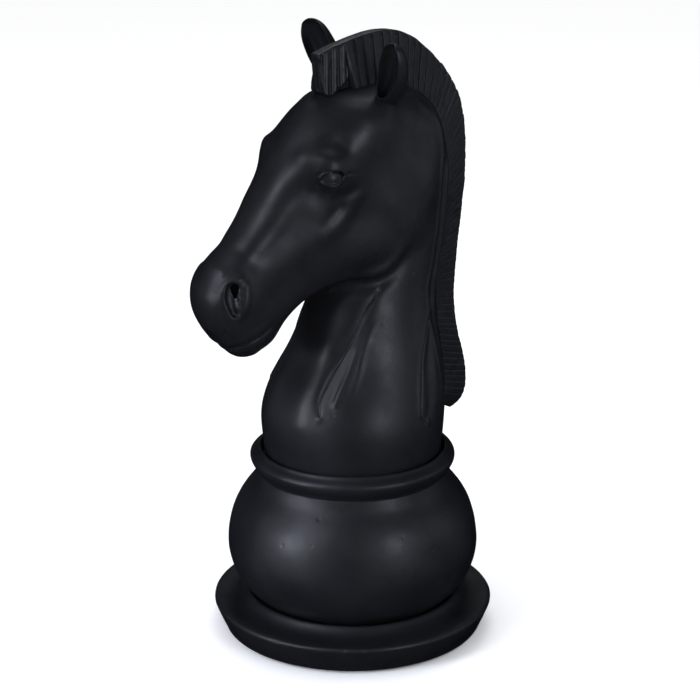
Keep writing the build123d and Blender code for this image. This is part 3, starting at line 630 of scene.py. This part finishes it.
def ear_field(shift=(0, 0, 0), twist=0.0, wide=1.0):
    T = [r[0] for r in EAR_LINE]
    rows = [r[1:] for r in EAR_LINE]
    fwd = np.array([math.sin(math.radians(twist)), -math.cos(math.radians(twist))])
    side = np.array([-fwd[1], fwd[0]])

    def fn(p):
        q = p - np.array(shift)
        v = along(rows, T, q[:, 2])
        dx, dy = q[:, 0] - v[:, 0], q[:, 1] - v[:, 1]
        a = dx * side[0] + dy * side[1]
        f = dx * fwd[0] + dy * fwd[1]
        w, b = np.maximum(v[:, 2], 0.5) * wide, np.maximum(v[:, 3], 0.5)
        outer = (np.sqrt((a / w) ** 2 + (f / b) ** 2) - 1) * np.minimum(w, b) * 0.85
        top = (q[:, 2] - 500.9)
        outer = smax(outer, top, 1.5)
        cw, cd = np.maximum(v[:, 5], 0.3) * wide, np.maximum(v[:, 6], 0.3)
        cf = f - v[:, 4]
        inner = (np.sqrt((a / cw) ** 2 + (cf / cd) ** 2) - 1) * np.minimum(cw, cd) * 0.85
        d = smax(outer, -inner, 1.2)
        # soft ridges that run up the inside of the cup
        back = np.exp(-((outer + 4.0) / 2.6) ** 2) * (cf < 0)
        for a0 in (-4.6, 0.6, 5.6):
            d = d - 1.3 * np.exp(-((a - a0 - (q[:, 2] - 470) * 0.05) / 1.5) ** 2) * np.exp(-((q[:, 2] - 471) / 12.0) ** 2) * back
        d = smax(d, 432.0 - q[:, 2], 1.0)
        return d

    return fn


def make_ear(name, side, shift, twist, wide=1.0):
    v, q = small_volume(name, (6, -22, 428), (74, 36, 505), 0.5, ear_field(shift, twist, wide))
    v = v + noise3(v, 9.0, 3 + side)[:, None] * 0.12
    if side < 0:
        v = v * np.array([-1, 1, 1])
        q = q[:, ::-1]
    ob = make_object(name, v, q)
    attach(ob, "head")
    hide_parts(name.replace("_cup", ""))
    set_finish(ob, "black_casting")
    return ob


left_ear = make_ear("left_ear_cup", 1, (-2.4, -0.6, -1.0), 2)
right_ear = make_ear("right_ear_cup", -1, (0.8, -1.6, 1.6), -22, 1.16)


def forelock_field():
    # side outline, y and z, of the block; ribs run down it, leaning back
    P = np.array([(-41.5, 489.0), (-24.0, 494.2), (-13.0, 495.6), (-12.0, 480.0), (-13.0, 467.0), (-32.4, 454.6), (-38.2, 458.5), (-39.8, 470.0)])

    def fn(p):
        x, y, z = np.abs(p[:, 0]), p[:, 1] - 3.6, p[:, 2] + 0.8
        # signed distance to the outline polygon
        d2 = np.full(len(p), 1e9)
        inside = np.zeros(len(p), bool)
        for i in range(len(P)):
            a, b = P[i], P[(i + 1) % len(P)]
            e = b - a
            wx, wy = y - a[0], z - a[1]
            t = np.clip((wx * e[0] + wy * e[1]) / (e @ e), 0, 1)
            d2 = np.minimum(d2, (wx - t * e[0]) ** 2 + (wy - t * e[1]) ** 2)
            c = (a[1] > z) != (b[1] > z)
            xi = (b[0] - a[0]) * (z - a[1]) / (b[1] - a[1] + 1e-12) + a[0]
            inside ^= c & (y < xi)
        prof = np.sqrt(d2) * np.where(inside, -1, 1)
        w = 4.7 + (492.0 - z) * 0.145
        rib = (y + 41.0) + (z - 492.0) * -0.10
        ph = rib / 8.2
        groove = np.exp(-(((ph - np.floor(ph)) - 0.5) / 0.13) ** 2) * 1.9 * np.clip((489.5 + (y + 40) * 0.22 - z) / 3.0, 0, 1)
        tilt = ((ph - np.floor(ph)) - 0.5) * -0.5
        xs = x - (w - groove + tilt * (groove >= 0) * np.clip((489.5 + (y + 40) * 0.22 - z) / 3.0, 0, 1))
        d = smax(prof, xs * 0.95, 1.4)
        # ribs on the front face
        fr = np.exp(-((p[:, 0] - 0.0) / 1.1) ** 2) + np.exp(-((x - 5.2) / 1.1) ** 2)
        d = d + 0.9 * fr * np.exp(-((y + 40.2 - (489 - z) * 0.06) / 2.0) ** 2) * np.clip((486 - z) / 3.0, 0, 1)
        return d

    return fn


fv, fq = small_volume("forelock", (-14, -46, 449), (14, -4, 499), 0.5, forelock_field())
fv = fv + noise3(fv, 6.0, 9)[:, None] * 0.15
forelock = make_object("forelock_block", fv, fq)
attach(forelock, "head")
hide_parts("forelock")
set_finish(forelock, "black_casting")

# ------------------------------------------------------------------ mane crest
MANE_RIDGE = [
    (-30, 489.5), (-15, 493.8), (2, 497.2), (19, 499), (37, 497.6), (51, 493.2), (62, 486.5), (72, 478.5), (90, 460), (103.6, 440), (110.4, 421),
    (113.6, 393), (112.8, 359), (108.6, 326), (104.8, 290), (103.8, 262), (107.8, 236), (113.8, 214), (117.2, 198), (117, 182), (111.5, 171), (103, 165.5),
]
MANE_ROOT = [
    (-20, 452), (-8, 455), (6, 455), (22, 449), (36, 443), (48, 436), (55, 430), (62, 422), (71, 410), (76, 397), (79, 380),
    (80, 362), (78, 338), (73, 312), (70, 290), (68, 268), (69, 246), (71, 226), (73, 208), (75, 194), (80, 182), (88, 173),
]


def build_mane():
    nu = 900
    ridge = curve(MANE_RIDGE, nu)
    # root stations matched to the ridge stations
    R, I = np.array(MANE_RIDGE, float), np.array(MANE_ROOT, float)
    t = np.concatenate([[0], np.cumsum(np.linalg.norm(np.diff(R, axis=0), axis=1))])
    M = spline_coeff(t, I, False)
    u = np.linspace(0, t[-1], nu)
    root = spline_at(t, I, M, u)
    L = t[-1]
    r2 = np.random.default_rng(5)
    # pleat phase: wide over the poll, finer down the neck
    pitch = np.interp(u / L, [0, 0.3, 0.42, 0.6, 0.85, 1.0], [9.4, 9.2, 8.0, 6.0, 5.8, 5.0])
    ph = np.cumsum(np.gradient(u) / pitch)
    ph = ph + 0.16 * np.interp(u, np.linspace(0, L, 60), r2.uniform(-1, 1, 60))
    deep = np.interp(u / L, [0, 0.04, 0.2, 0.28, 0.33, 0.37, 0.5, 0.75, 0.86, 0.96, 1.0], [1.8, 2.2, 2.2, 1.8, 1.1, 0.3, 0.16, 0.16, 0.5, 0.5, 0.2])
    low = np.interp(u / L, [0, 0.15, 0.22, 0.32, 0.42, 0.6, 0.8, 1.0], [1.3, 1.1, 0.8, 0.62, 0.55, 0.5, 0.8, 1.2])
    jit = np.interp(ph, np.arange(0, 120), r2.uniform(0.7, 1.25, 120))
    frac = ph - np.floor(ph)
    front = np.clip((21.0 - u) / 4.0, 0, 1)
    endw = np.clip((L - u) / 16.0, 0, 1) ** 0.5
    nv, ntop = ((34, 8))
    rows = []
    for k in range(nu):
        o, i = ridge[k], root[k]
        ax = o - i
        h = np.linalg.norm(ax)
        ax = ax / h
        v = np.linspace(0, 1, nv)
        w = 4.7 + (11.2 - 4.7) * (1 - v) ** 1.15
        w = w * (0.35 + 0.65 * endw[k]) * (1 - (1 - v) * 0.5 * front[k])
        # pleats lean a little, so the phase shifts with height; each rises sharply in front and falls away behind
        f = (ph[k] + (1 - v) * 0.22) % 1.0
        rise = np.clip(f / 0.11, 0, 1)
        saw = rise * rise * (3 - 2 * rise) * (1 - np.clip((f - 0.11) / 0.89, 0, 1) ** 0.8) - 0.5
        cut = np.exp(-(((f - 0.97) / 0.09) ** 2)) + np.exp(-(((f + 0.03) / 0.09) ** 2))
        dist_top = (1 - v) * h
        fade = np.clip((dist_top - 1.0) / 2.0, 0, 1) * np.clip((low[k] * h - dist_top) / (0.2 * h) + 0.3, 0, 1)
        w = w + deep[k] * jit[k] * (0.42 * saw - 0.38 * cut - 0.08) * fade
        notch = (0.25 + 0.3 * deep[k]) * jit[k] * np.exp(-((((frac[k] + 0.5) % 1.0 - 0.5) / 0.12) ** 2)) * np.clip((u[k] / L - 0.3) / 0.06, 0, 1)
        top_z = h - notch
        sx, sy = w, v * top_z
        # rounded top edge
        e = 0.9
        tx = np.linspace(1, -1, ntop + 2)
        topw = w[-1]
        right = np.stack([sx, sy], 1)
        right[-1] = (topw, top_z - e)
        tops = np.stack([tx * (topw - e * 0.6), np.full(ntop + 2, top_z) + 0.25 * (1 - tx**2)], 1)
        left = np.stack([-sx, sy], 1)[::-1]
        left[0] = (-topw, top_z - e)
        sec = np.vstack([right, tops, left])
        rows.append(np.column_stack([sec[:, 0], i[0] + ax[0] * sec[:, 1], i[1] + ax[1] * sec[:, 1]]))
    V = np.array(rows)
    # the step in the ridge behind the poll, and smaller ones further down
    for pos, size, length in ((0.295, 1.3, 12.0), (0.41, 0.8, 9.0), (0.455, 0.7, 9.0), (0.53, 0.6, 9.0), (0.36, 0.5, 7.0)):
        k = (u - pos * L)
        bump = size * np.exp(-np.clip(k, 0, None) / length) * (k > 0)
        for j in range(V.shape[1]):
            out = ridge - root
            out = out / np.linalg.norm(out, axis=1)[:, None]
            hh = np.clip(((V[:, j, 1:] - root) * out).sum(1) / np.linalg.norm(ridge - root, axis=1), 0, 1) ** 3
            V[:, j, 1:] += out * (bump * hh)[:, None]
    v, q, t3 = loft_mesh(V)
    v = v + noise3(v, 7.0, 21)[:, None] * 0.16
    faces = [list(f) for f in q] + [list(f) for f in t3]
    return v, faces


mv, mf = build_mane()
mane = make_object("mane_pleats", mv, mf)
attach(mane, "head")
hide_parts("mane_crest")
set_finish(mane, "black_casting")

# ------------------------------------------------------------------ pedestal castings


def turned(name, node, outer, inner, nseg, step, wobble=0.22, seed=0, pits=()):
    """A turned casting: a smooth outer profile, straight inner profile, slight hand-finish waviness, small casting pits."""
    prof = [np.array(outer[0], float)[None]]
    o = np.vstack([curve(part, max(6, int(sum(np.linalg.norm(np.diff(np.array(part, float), axis=0), axis=1)) / step))) for part in outer_parts(outer)])
    keep = np.concatenate([[True], np.linalg.norm(np.diff(o, axis=0), axis=1) > 1e-6])
    o = o[keep]
    n_out = len(o)
    inn = []
    P = np.array(inner, float)
    for a, b in zip(P[:-1], P[1:]):
        m = max(1, int(np.linalg.norm(b - a) / 8.0))
        for i in range(m):
            inn.append(a + (b - a) * i / m)
    inn.append(P[-1])
    prof = np.vstack([o, np.array(inn)[1:-1] if len(inn) > 2 else np.empty((0, 2))])
    ang = np.linspace(0, 2 * math.pi, nseg, endpoint=False)
    V = np.stack([
        np.outer(np.cos(ang), prof[:, 0]), np.outer(np.sin(ang), prof[:, 0]), np.tile(prof[:, 1], (nseg, 1))
    ], -1)
    d = np.gradient(prof, axis=0)
    nrm = np.stack([d[:, 1], -d[:, 0]], 1)
    nrm = nrm / (np.linalg.norm(nrm, axis=1)[:, None] + 1e-9)
    if nrm[n_out // 2, 0] < 0:
        nrm = -nrm
    NV = np.stack([np.outer(np.cos(ang), nrm[:, 0]), np.outer(np.sin(ang), nrm[:, 0]), np.tile(nrm[:, 1], (nseg, 1))], -1)
    flat = V.reshape(-1, 3)
    h = wobble * noise3(flat, 46.0, seed, 2) + 0.05 * noise3(flat, 9.0, seed + 1, 2)
    mask = np.zeros(V.shape[:2])
    mask[:, 1 : n_out - 1] = 1.0
    h = h.reshape(V.shape[:2]) * mask
    for c, r, depth, rim in pits:
        dd = np.linalg.norm(V - np.array(c, float), axis=2)
        h = h + mask * (-depth * np.exp(-((dd / r) ** 2)) + rim * np.exp(-(((dd - r * 1.5) / (r * 0.5)) ** 2)))
    V = V + NV * h[..., None]
    k = V.shape[1]
    i, j = np.meshgrid(np.arange(nseg), np.arange(k), indexing="ij")
    i2, j2 = (i + 1) % nseg, (j + 1) % k
    q = np.stack([i * k + j, i2 * k + j, i2 * k + j2, i * k + j2], -1).reshape(-1, 4)
    ob = make_object(name, V.reshape(-1, 3), q)
    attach(ob, "pedestal")
    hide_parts(node)
    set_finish(ob, "black_casting")
    return ob


def outer_parts(outer):
    """The outer profile may hold None between smooth stretches."""
    parts, cur = [], []
    for pt in outer:
        if pt is None:
            parts.append(cur)
            cur = [cur[-1]]
        else:
            cur.append(pt)
    parts.append(cur)
    return parts


BOWL_LINE = [(79.0, 30.2), (82.0, 32.2), (87.2, 36.9), (94.6, 45.6), (100.2, 57.5), (102.8, 70.0), (102.9, 79.0), (101.1, 92.0), (96.4, 107.0), (88.6, 120.0), (81.9, 129.2), (79.6, 134.6), (78.4, 138.0)]


def spot(line, right, z):
    """A place on a turned surface, a stated distance right of the middle line of the three-quarter side."""
    r = float(np.interp(z, [b for a, b in line], [a for a, b in line]))
    t = math.sqrt(max(r * r - right * right, 0))
    a = math.radians(52.0)
    return (math.cos(a) * right + math.sin(a) * t, math.sin(a) * right - math.cos(a) * t, z)


BOWL_PITS = [(spot(BOWL_LINE, x, z), r, 0.7 * d, 0.04) for x, z, r, d in (
    (-27, 124, 1.5, 0.8), (-22, 125.5, 0.9, 0.5), (21, 123, 1.2, 0.6), (2, 111, 1.3, 0.6), (-33, 105, 1.2, 0.6), (-56, 101, 1.4, 0.7), (40, 110, 1.0, 0.5),
    (-48, 62, 1.0, 0.4), (30, 70, 0.9, 0.4), (64, 96, 1.3, 0.6), (-8, 48, 1.1, 0.5), (-70, 78, 1.0, 0.5), (12, 92, 0.8, 0.35))]
BOWL_PITS += [((x, y, z), r, 0.5, 0.04) for x, y, z, r in ((-80, 55, 95, 1.3), (-95, -30, 82, 1.1), (-30, 96, 88, 1.4), (20, 99, 70, 1.0), (-60, 70, 110, 1.2))]
RIM = [(115.0, 22.6), (115.0, 22.7)]
RIM_NICKS = [(spot(RIM, x, 24.4), r, d, 0.1) for x, r, d in ((-7, 1.6, 0.8), (10, 1.3, 0.7), (-62, 1.8, 0.7), (74, 1.4, 0.6), (-101, 1.6, 0.8), (46, 1.0, 0.5))]
RIM_NICKS += [((-99.6, 57.5, 24.4), 1.8, 0.8, 0.1), ((-20, 113.3, 24.2), 1.5, 0.7, 0.1), ((-113.3, -20, 24.4), 1.2, 0.6, 0.1)]

SEG = 640
STEP = 1.0
turned("foot_casting", "foot_flange",
       [(106.4, 2.5), (108.6, 7.5), (112.0, 15.0), (114.4, 20.8), (115.0, 22.6), (114.8, 24.2), (113.8, 25.3), (112.2, 25.7), (106.0, 26.0), (98.5, 26.4), (93.2, 28.2), (89.8, 31.2), (88.0, 32.9), (86.6, 33.2), (85.4, 32.2), (84.8, 30.2)],
       [(84.8, 30.2), (84.0, 29.9), (18.0, 29.9), (18.0, 21.6), (76.0, 21.6), (80.0, 17.6), (80.0, 7.6), (92.6, 7.6), (92.6, 2.5), (106.4, 2.5)],
       SEG, STEP, 0.4, 1, RIM_NICKS)
turned("bowl_casting", "bowl_shell",
       [(79.0, 30.2), (82.0, 32.2), (87.2, 36.9), (94.6, 45.6), (100.2, 57.5), (102.8, 70.0), (102.9, 79.0), (101.1, 92.0), (96.4, 107.0), (88.6, 120.0), (81.9, 129.2), (79.6, 134.6), (78.4, 138.0)],
       [(78.4, 138.0), (64.0, 138.0), (64.0, 134.0), (84.0, 113.0), (95.0, 88.0), (94.6, 61.0), (81.0, 41.0), (71.0, 36.2), (20.0, 36.2), (20.0, 30.2), (79.0, 30.2)],
       SEG, STEP, 0.35, 2, BOWL_PITS)
turned("collar_casting", "collar_ring",
       [(78.6, 138.0), (79.4, 139.8), (81.4, 142.6), (83.4, 146.0), (84.2, 149.2), (83.8, 151.4), (82.4, 153.2), (80.2, 154.9), (78.4, 156.6), (77.4, 157.8), (76.4, 158.2), (75.4, 157.8), (74.6, 156.4), (74.1, 153.6)],
       [(74.1, 153.6), (73.8, 145.2), (62.4, 145.2), (62.4, 138.0), (78.6, 138.0)],
       SEG, STEP * 0.6, 0.45, 3)


# ------------------------------------------------------------------ camera
cam_data = bpy.data.cameras.new("camera")
cam = bpy.data.objects.new("camera", cam_data)
bpy.context.scene.collection.objects.link(cam)
CAM_AZ, CAM_PITCH, CAM_DIST, CAM_Z = math.radians(52.0), math.radians(19.41), 2.0, 0.943
cam.location = (math.sin(CAM_AZ) * CAM_DIST, -math.cos(CAM_AZ) * CAM_DIST, CAM_Z)
look = Vector((-math.sin(CAM_AZ) * math.cos(CAM_PITCH), math.cos(CAM_AZ) * math.cos(CAM_PITCH), -math.sin(CAM_PITCH)))
cam.rotation_mode = "QUATERNION"
cam.rotation_quaternion = look.to_track_quat("-Z", "Y")
cam_data.sensor_width = 36.0
cam_data.lens = 2615.0 / 700.0 * 36.0
cam_data.shift_x = -2.5 / 700.0
cam_data.clip_start, cam_data.clip_end = 0.05, 60.0
bpy.context.scene.camera = cam
# ---END-HEAD---
bpy.context.scene.view_settings.view_transform = "Standard"
bpy.context.scene.view_settings.look = "None"


def area(name, loc, target, size, power, color=(1, 1, 1), shape="RECTANGLE", size_y=None, spread=None):
    d = bpy.data.lights.new(name, "AREA")
    d.shape = shape
    d.size = size
    if size_y:
        d.size_y = size_y
    d.energy = power
    d.color = color
    if spread:
        d.spread = math.radians(spread)
    o = bpy.data.objects.new(name, d)
    bpy.context.scene.collection.objects.link(o)
    o.location = loc
    o.rotation_mode = "QUATERNION"
    o.rotation_quaternion = (Vector(target) - Vector(loc)).to_track_quat("-Z", "Y")
    return o


def from_camera(right, up, toward):
    """A world position given relative to the object's middle in the camera's own directions, in metres."""
    r = Vector((math.cos(CAM_AZ), math.sin(CAM_AZ), 0))
    b = Vector((math.sin(CAM_AZ), -math.cos(CAM_AZ), 0))
    return Vector((0, 0, 0.25)) + r * right + b * toward + Vector((0, 0, up))


area("key_left", from_camera(-1.34, 0.20, 0.86), (0.02, 0.03, 0.06), 0.36, 0.4, (0.80, 0.85, 1.0), size_y=0.36, spread=26)
area("high_left", from_camera(-1.05, 1.0, 0.85), (0, 0, 0.35), 0.6, 9, (0.80, 0.85, 1.0), size_y=0.5)
area("key_right", from_camera(1.03, 0.34, 1.23), (0, 0, 0.2), 0.45, 7.5, (0.80, 0.85, 1.0), size_y=0.5)
area("rim_right", from_camera(1.6, 0.25, -0.1), (0, 0, 0.12), 0.6, 1.4, (0.82, 0.86, 1.0), size_y=0.9)
area("top_back", from_camera(0.1, 1.5, -0.9), (0, 0, 0.3), 0.9, 8, (0.9, 0.94, 1.0), size_y=0.9)

world = bpy.data.worlds.new("studio")
bpy.context.scene.world = world
world.use_nodes = True
world.node_tree.nodes["Background"].inputs["Color"].default_value = (1, 1, 1, 1)
world.node_tree.nodes["Background"].inputs["Strength"].default_value = 1.0
world.cycles_visibility.glossy = False

fm = bpy.data.materials.new("floor")
fm.use_nodes = True
fb = fm.node_tree.nodes["Principled BSDF"]
fb.inputs["Base Color"].default_value = (0.97, 0.97, 0.97, 1)
fb.inputs["Roughness"].default_value = 0.9
me = bpy.data.meshes.new("floor")
me.from_pydata([(-40, -40, 0), (40, -40, 0), (40, 40, 0), (-40, 40, 0)], [], [(0, 1, 2, 3)])
floor = bpy.data.objects.new("floor", me)
floor.data.materials.append(fm)
bpy.context.scene.collection.objects.link(floor)
floor.visible_glossy = False
floor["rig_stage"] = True


class Nodes:
    """Small helper that builds a node material from pieces."""

    def __init__(self, name):
        self.m = bpy.data.materials.new(name)
        self.m.use_nodes = True
        self.t = self.m.node_tree
        self.b = self.t.nodes["Principled BSDF"]
        self.co = self.t.nodes.new("ShaderNodeTexCoord").outputs["Object"]

    def link(self, a, b):
        self.t.links.new(a, b)

    def noise(self, scale, detail=4.0, rough=0.55, stretch=None, offset=(0, 0, 0), distort=0.0):
        mp = self.t.nodes.new("ShaderNodeMapping")
        mp.inputs["Location"].default_value = offset
        mp.inputs["Scale"].default_value = stretch or (1, 1, 1)
        self.link(self.co, mp.inputs["Vector"])
        n = self.t.nodes.new("ShaderNodeTexNoise")
        n.inputs["Scale"].default_value = scale
        n.inputs["Detail"].default_value = detail
        n.inputs["Roughness"].default_value = rough
        n.inputs["Distortion"].default_value = distort
        self.link(mp.outputs["Vector"], n.inputs["Vector"])
        return n.outputs["Fac"]

    def cells(self, scale, feature="F1"):
        n = self.t.nodes.new("ShaderNodeTexVoronoi")
        n.feature = feature
        n.inputs["Scale"].default_value = scale
        self.link(self.co, n.inputs["Vector"])
        return n.outputs["Distance"], n.outputs["Color"]

    def remap(self, src, lo, hi, to_lo=0.0, to_hi=1.0):
        n = self.t.nodes.new("ShaderNodeMapRange")
        n.interpolation_type = "SMOOTHSTEP"
        for k, v in (("From Min", lo), ("From Max", hi), ("To Min", to_lo), ("To Max", to_hi)):
            n.inputs[k].default_value = v
        self.link(src, n.inputs["Value"])
        return n.outputs["Result"]

    def math(self, op, a, b):
        n = self.t.nodes.new("ShaderNodeMath")
        n.operation = op
        for k, v in ((0, a), (1, b)):
            if isinstance(v, (int, float)):
                n.inputs[k].default_value = v
            else:
                self.link(v, n.inputs[k])
        return n.outputs[0]

    def mix(self, fac, a, b):
        n = self.t.nodes.new("ShaderNodeMix")
        n.data_type = "RGBA"
        self.link(fac, n.inputs["Factor"])
        for k, v in ((6, a), (7, b)):
            if isinstance(v, tuple):
                n.inputs[k].default_value = (*v, 1)
            else:
                self.link(v, n.inputs[k])
        return n.outputs[2]

    def bump(self, height, strength, distance, below=None):
        n = self.t.nodes.new("ShaderNodeBump")
        n.inputs["Strength"].default_value = strength
        n.inputs["Distance"].default_value = distance
        self.link(height, n.inputs["Height"])
        if below is not None:
            self.link(below, n.inputs["Normal"])
        return n.outputs["Normal"]


def casting(name):
    """Satin black cast and painted surface: cloudy tone, slight orange peel, rubbed edges, painted shade darkening the
    grooves, small pits.
    """
    n = Nodes(name)
    cloud = n.remap(n.noise(22, 5, 0.6), 0.35, 0.68)
    fine = n.remap(n.noise(420, 3, 0.6), 0.3, 0.7)
    col = n.mix(cloud, DARK, LIGHT)
    col = n.mix(n.math("MULTIPLY", fine, 0.35), col, FINE)
    geo = n.t.nodes.new("ShaderNodeNewGeometry").outputs["Pointiness"]
    edge = n.math("MULTIPLY", n.remap(geo, 0.515, 0.60), n.remap(n.noise(160, 4, 0.65), 0.40, 0.62))
    # painted shade: concave creases and grooves (low pointiness) are darkened in the base colour where shade would fall
    painted_crease_shade = n.remap(geo, 0.485, 0.43)
    col = n.mix(n.math("MULTIPLY", edge, 0.55), col, (0.034, 0.034, 0.039))
    # mixes the painted crease shade, near black, into the base colour
    col = n.mix(n.math("MULTIPLY", painted_crease_shade, 0.30), col, (0.0035, 0.0035, 0.0045))
    d, c = n.cells(95)
    sep = n.t.nodes.new("ShaderNodeSeparateColor")
    n.link(c, sep.inputs["Color"])
    rare = n.remap(sep.outputs["Red"], 0.955, 0.965)
    speck = n.math("MULTIPLY", rare, n.remap(d, 0.085, 0.045))
    col = n.mix(n.math("MULTIPLY", speck, 0.5), col, (0.06, 0.06, 0.065))
    n.link(col, n.b.inputs["Base Color"])
    r = n.remap(n.noise(34, 4, 0.6, offset=(3, 1, 2)), 0.3, 0.7, ROUGH[0], ROUGH[1])
    r = n.math("ADD", r, n.math("MULTIPLY", n.remap(n.noise(700, 2, 0.5), 0.3, 0.7), 0.05))
    n.link(r, n.b.inputs["Roughness"])
    n.b.inputs["Specular IOR Level"].default_value = SPEC
    rare2 = n.remap(sep.outputs["Green"], 0.93, 0.94)
    pit = n.math("MULTIPLY", rare2, n.remap(d, 0.11, 0.05))
    b1 = n.bump(n.noise(95, 3, 0.5), 0.22, 0.0009)
    b2 = n.bump(n.noise(900, 3, 0.6), 0.16, 0.00022, b1)
    b3 = n.bump(n.math("SUBTRACT", 1.0, pit), 0.6, 0.0004, b2)
    n.link(b3, n.b.inputs["Normal"])
    return n.m


def finish(name, dark, light, rough, metal=0.0, spec=0.5, cloud=40.0, grain=600.0, bump=0.1, depth=0.0002, stretch=None, cells=0.0, edge=None):
    """A general finish: cloudy colour, varied roughness, fine relief, optional cells and rubbed edges."""
    n = Nodes(name)
    c = n.remap(n.noise(cloud, 5, 0.6, stretch), 0.32, 0.68)
    f = n.remap(n.noise(grain, 4, 0.6, stretch), 0.3, 0.7)
    col = n.mix(n.math("ADD", n.math("MULTIPLY", c, 0.6), n.math("MULTIPLY", f, 0.4)), dark, light)
    h = f
    if cells:
        d, cc = n.cells(cells)
        sep = n.t.nodes.new("ShaderNodeSeparateColor")
        n.link(cc, sep.inputs["Color"])
        col = n.mix(n.math("MULTIPLY", sep.outputs["Red"], 0.45), col, tuple(min(1.0, v * 1.7) for v in light))
        h = n.math("SUBTRACT", f, n.math("MULTIPLY", d, 1.4))
    if edge:
        geo = n.t.nodes.new("ShaderNodeNewGeometry").outputs["Pointiness"]
        col = n.mix(n.math("MULTIPLY", n.remap(geo, 0.52, 0.62), 0.6), col, edge)
    n.link(col, n.b.inputs["Base Color"])
    n.link(n.remap(n.noise(cloud * 2.2, 4, 0.6, stretch, (4, 2, 1)), 0.3, 0.7, rough[0], rough[1]), n.b.inputs["Roughness"])
    n.b.inputs["Metallic"].default_value = metal
    n.b.inputs["Specular IOR Level"].default_value = spec
    n.link(n.bump(h, bump, depth), n.b.inputs["Normal"])
    return n.m


DARK, LIGHT, FINE = (0.0040, 0.0043, 0.0062), (0.0062, 0.0066, 0.0092), (0.0078, 0.0080, 0.0104)
ROUGH, SPEC = (0.40, 0.50), 0.42
CAST = casting("black_casting")
RUBBER = finish("rubber_pad", (0.012, 0.012, 0.012), (0.022, 0.021, 0.020), (0.72, 0.9), spec=0.3, cloud=60, grain=900, bump=0.35, depth=0.0003, cells=700)
SEAL = finish("seal_rubber", (0.010, 0.010, 0.011), (0.018, 0.018, 0.019), (0.5, 0.66), spec=0.4, cloud=90, grain=1200, bump=0.12, depth=0.0001)
COVER = finish("cover_plastic", (0.011, 0.011, 0.013), (0.019, 0.019, 0.021), (0.42, 0.58), spec=0.45, cloud=30, grain=1500, bump=0.2, depth=0.00012, edge=(0.05, 0.05, 0.055))
PLUG = finish("plug_plastic", (0.014, 0.014, 0.016), (0.024, 0.024, 0.027), (0.35, 0.5), spec=0.5, cloud=70, grain=1600, bump=0.15, depth=0.0001, edge=(0.07, 0.07, 0.075))
SCREW = finish("screw_steel", (0.34, 0.34, 0.35), (0.56, 0.56, 0.57), (0.24, 0.42), metal=1.0, cloud=120, grain=1500, bump=0.12, depth=0.00006, edge=(0.75, 0.75, 0.76))
ZINC = finish("zinc_steel", (0.40, 0.41, 0.42), (0.62, 0.63, 0.62), (0.30, 0.52), metal=1.0, cloud=80, grain=900, bump=0.12, depth=0.00008, cells=420, edge=(0.8, 0.8, 0.8))
NYLON = finish("glide_nylon", (0.60, 0.58, 0.52), (0.74, 0.72, 0.66), (0.38, 0.55), spec=0.45, cloud=45, grain=800, bump=0.12, depth=0.00008)
SAND = finish("sand", (0.28, 0.21, 0.13), (0.52, 0.42, 0.29), (0.8, 0.95), spec=0.25, cloud=90, grain=1400, bump=0.9, depth=0.0006, cells=1100)
SLOTS = {
    "black_casting": CAST, "cover_plastic": COVER, "plug_plastic": PLUG, "rubber_pad": RUBBER, "seal_rubber": SEAL,
    "screw_steel": SCREW, "zinc_steel": ZINC, "glide_nylon": NYLON, "sand": SAND,
}
BY_NODE = {
    "base_pad": RUBBER, "base_cover": COVER, "cover_gasket": SEAL, "cover_screws": SCREW, "sand_ballast": SAND, "plug_seal": SEAL,
    "fill_plug": PLUG, "spigot_oring": SEAL, "lower_washer": ZINC, "upper_washer": ZINC, "lower_nut": ZINC, "upper_nut": ZINC,
    "tie_rod": ZINC, "glide_ring": NYLON, "ear_pins": SCREW, "mane_pins": SCREW, "neck_plate_screws": SCREW,
}
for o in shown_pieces():
    mat = BY_NODE.get(o.name, CAST)
    if o.name not in BY_NODE and o.get("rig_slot") in SLOTS:
        mat = SLOTS[o["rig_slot"]]
    o.data.materials.clear()
    o.data.materials.append(mat)
    print("piece", o.name, mat.name)
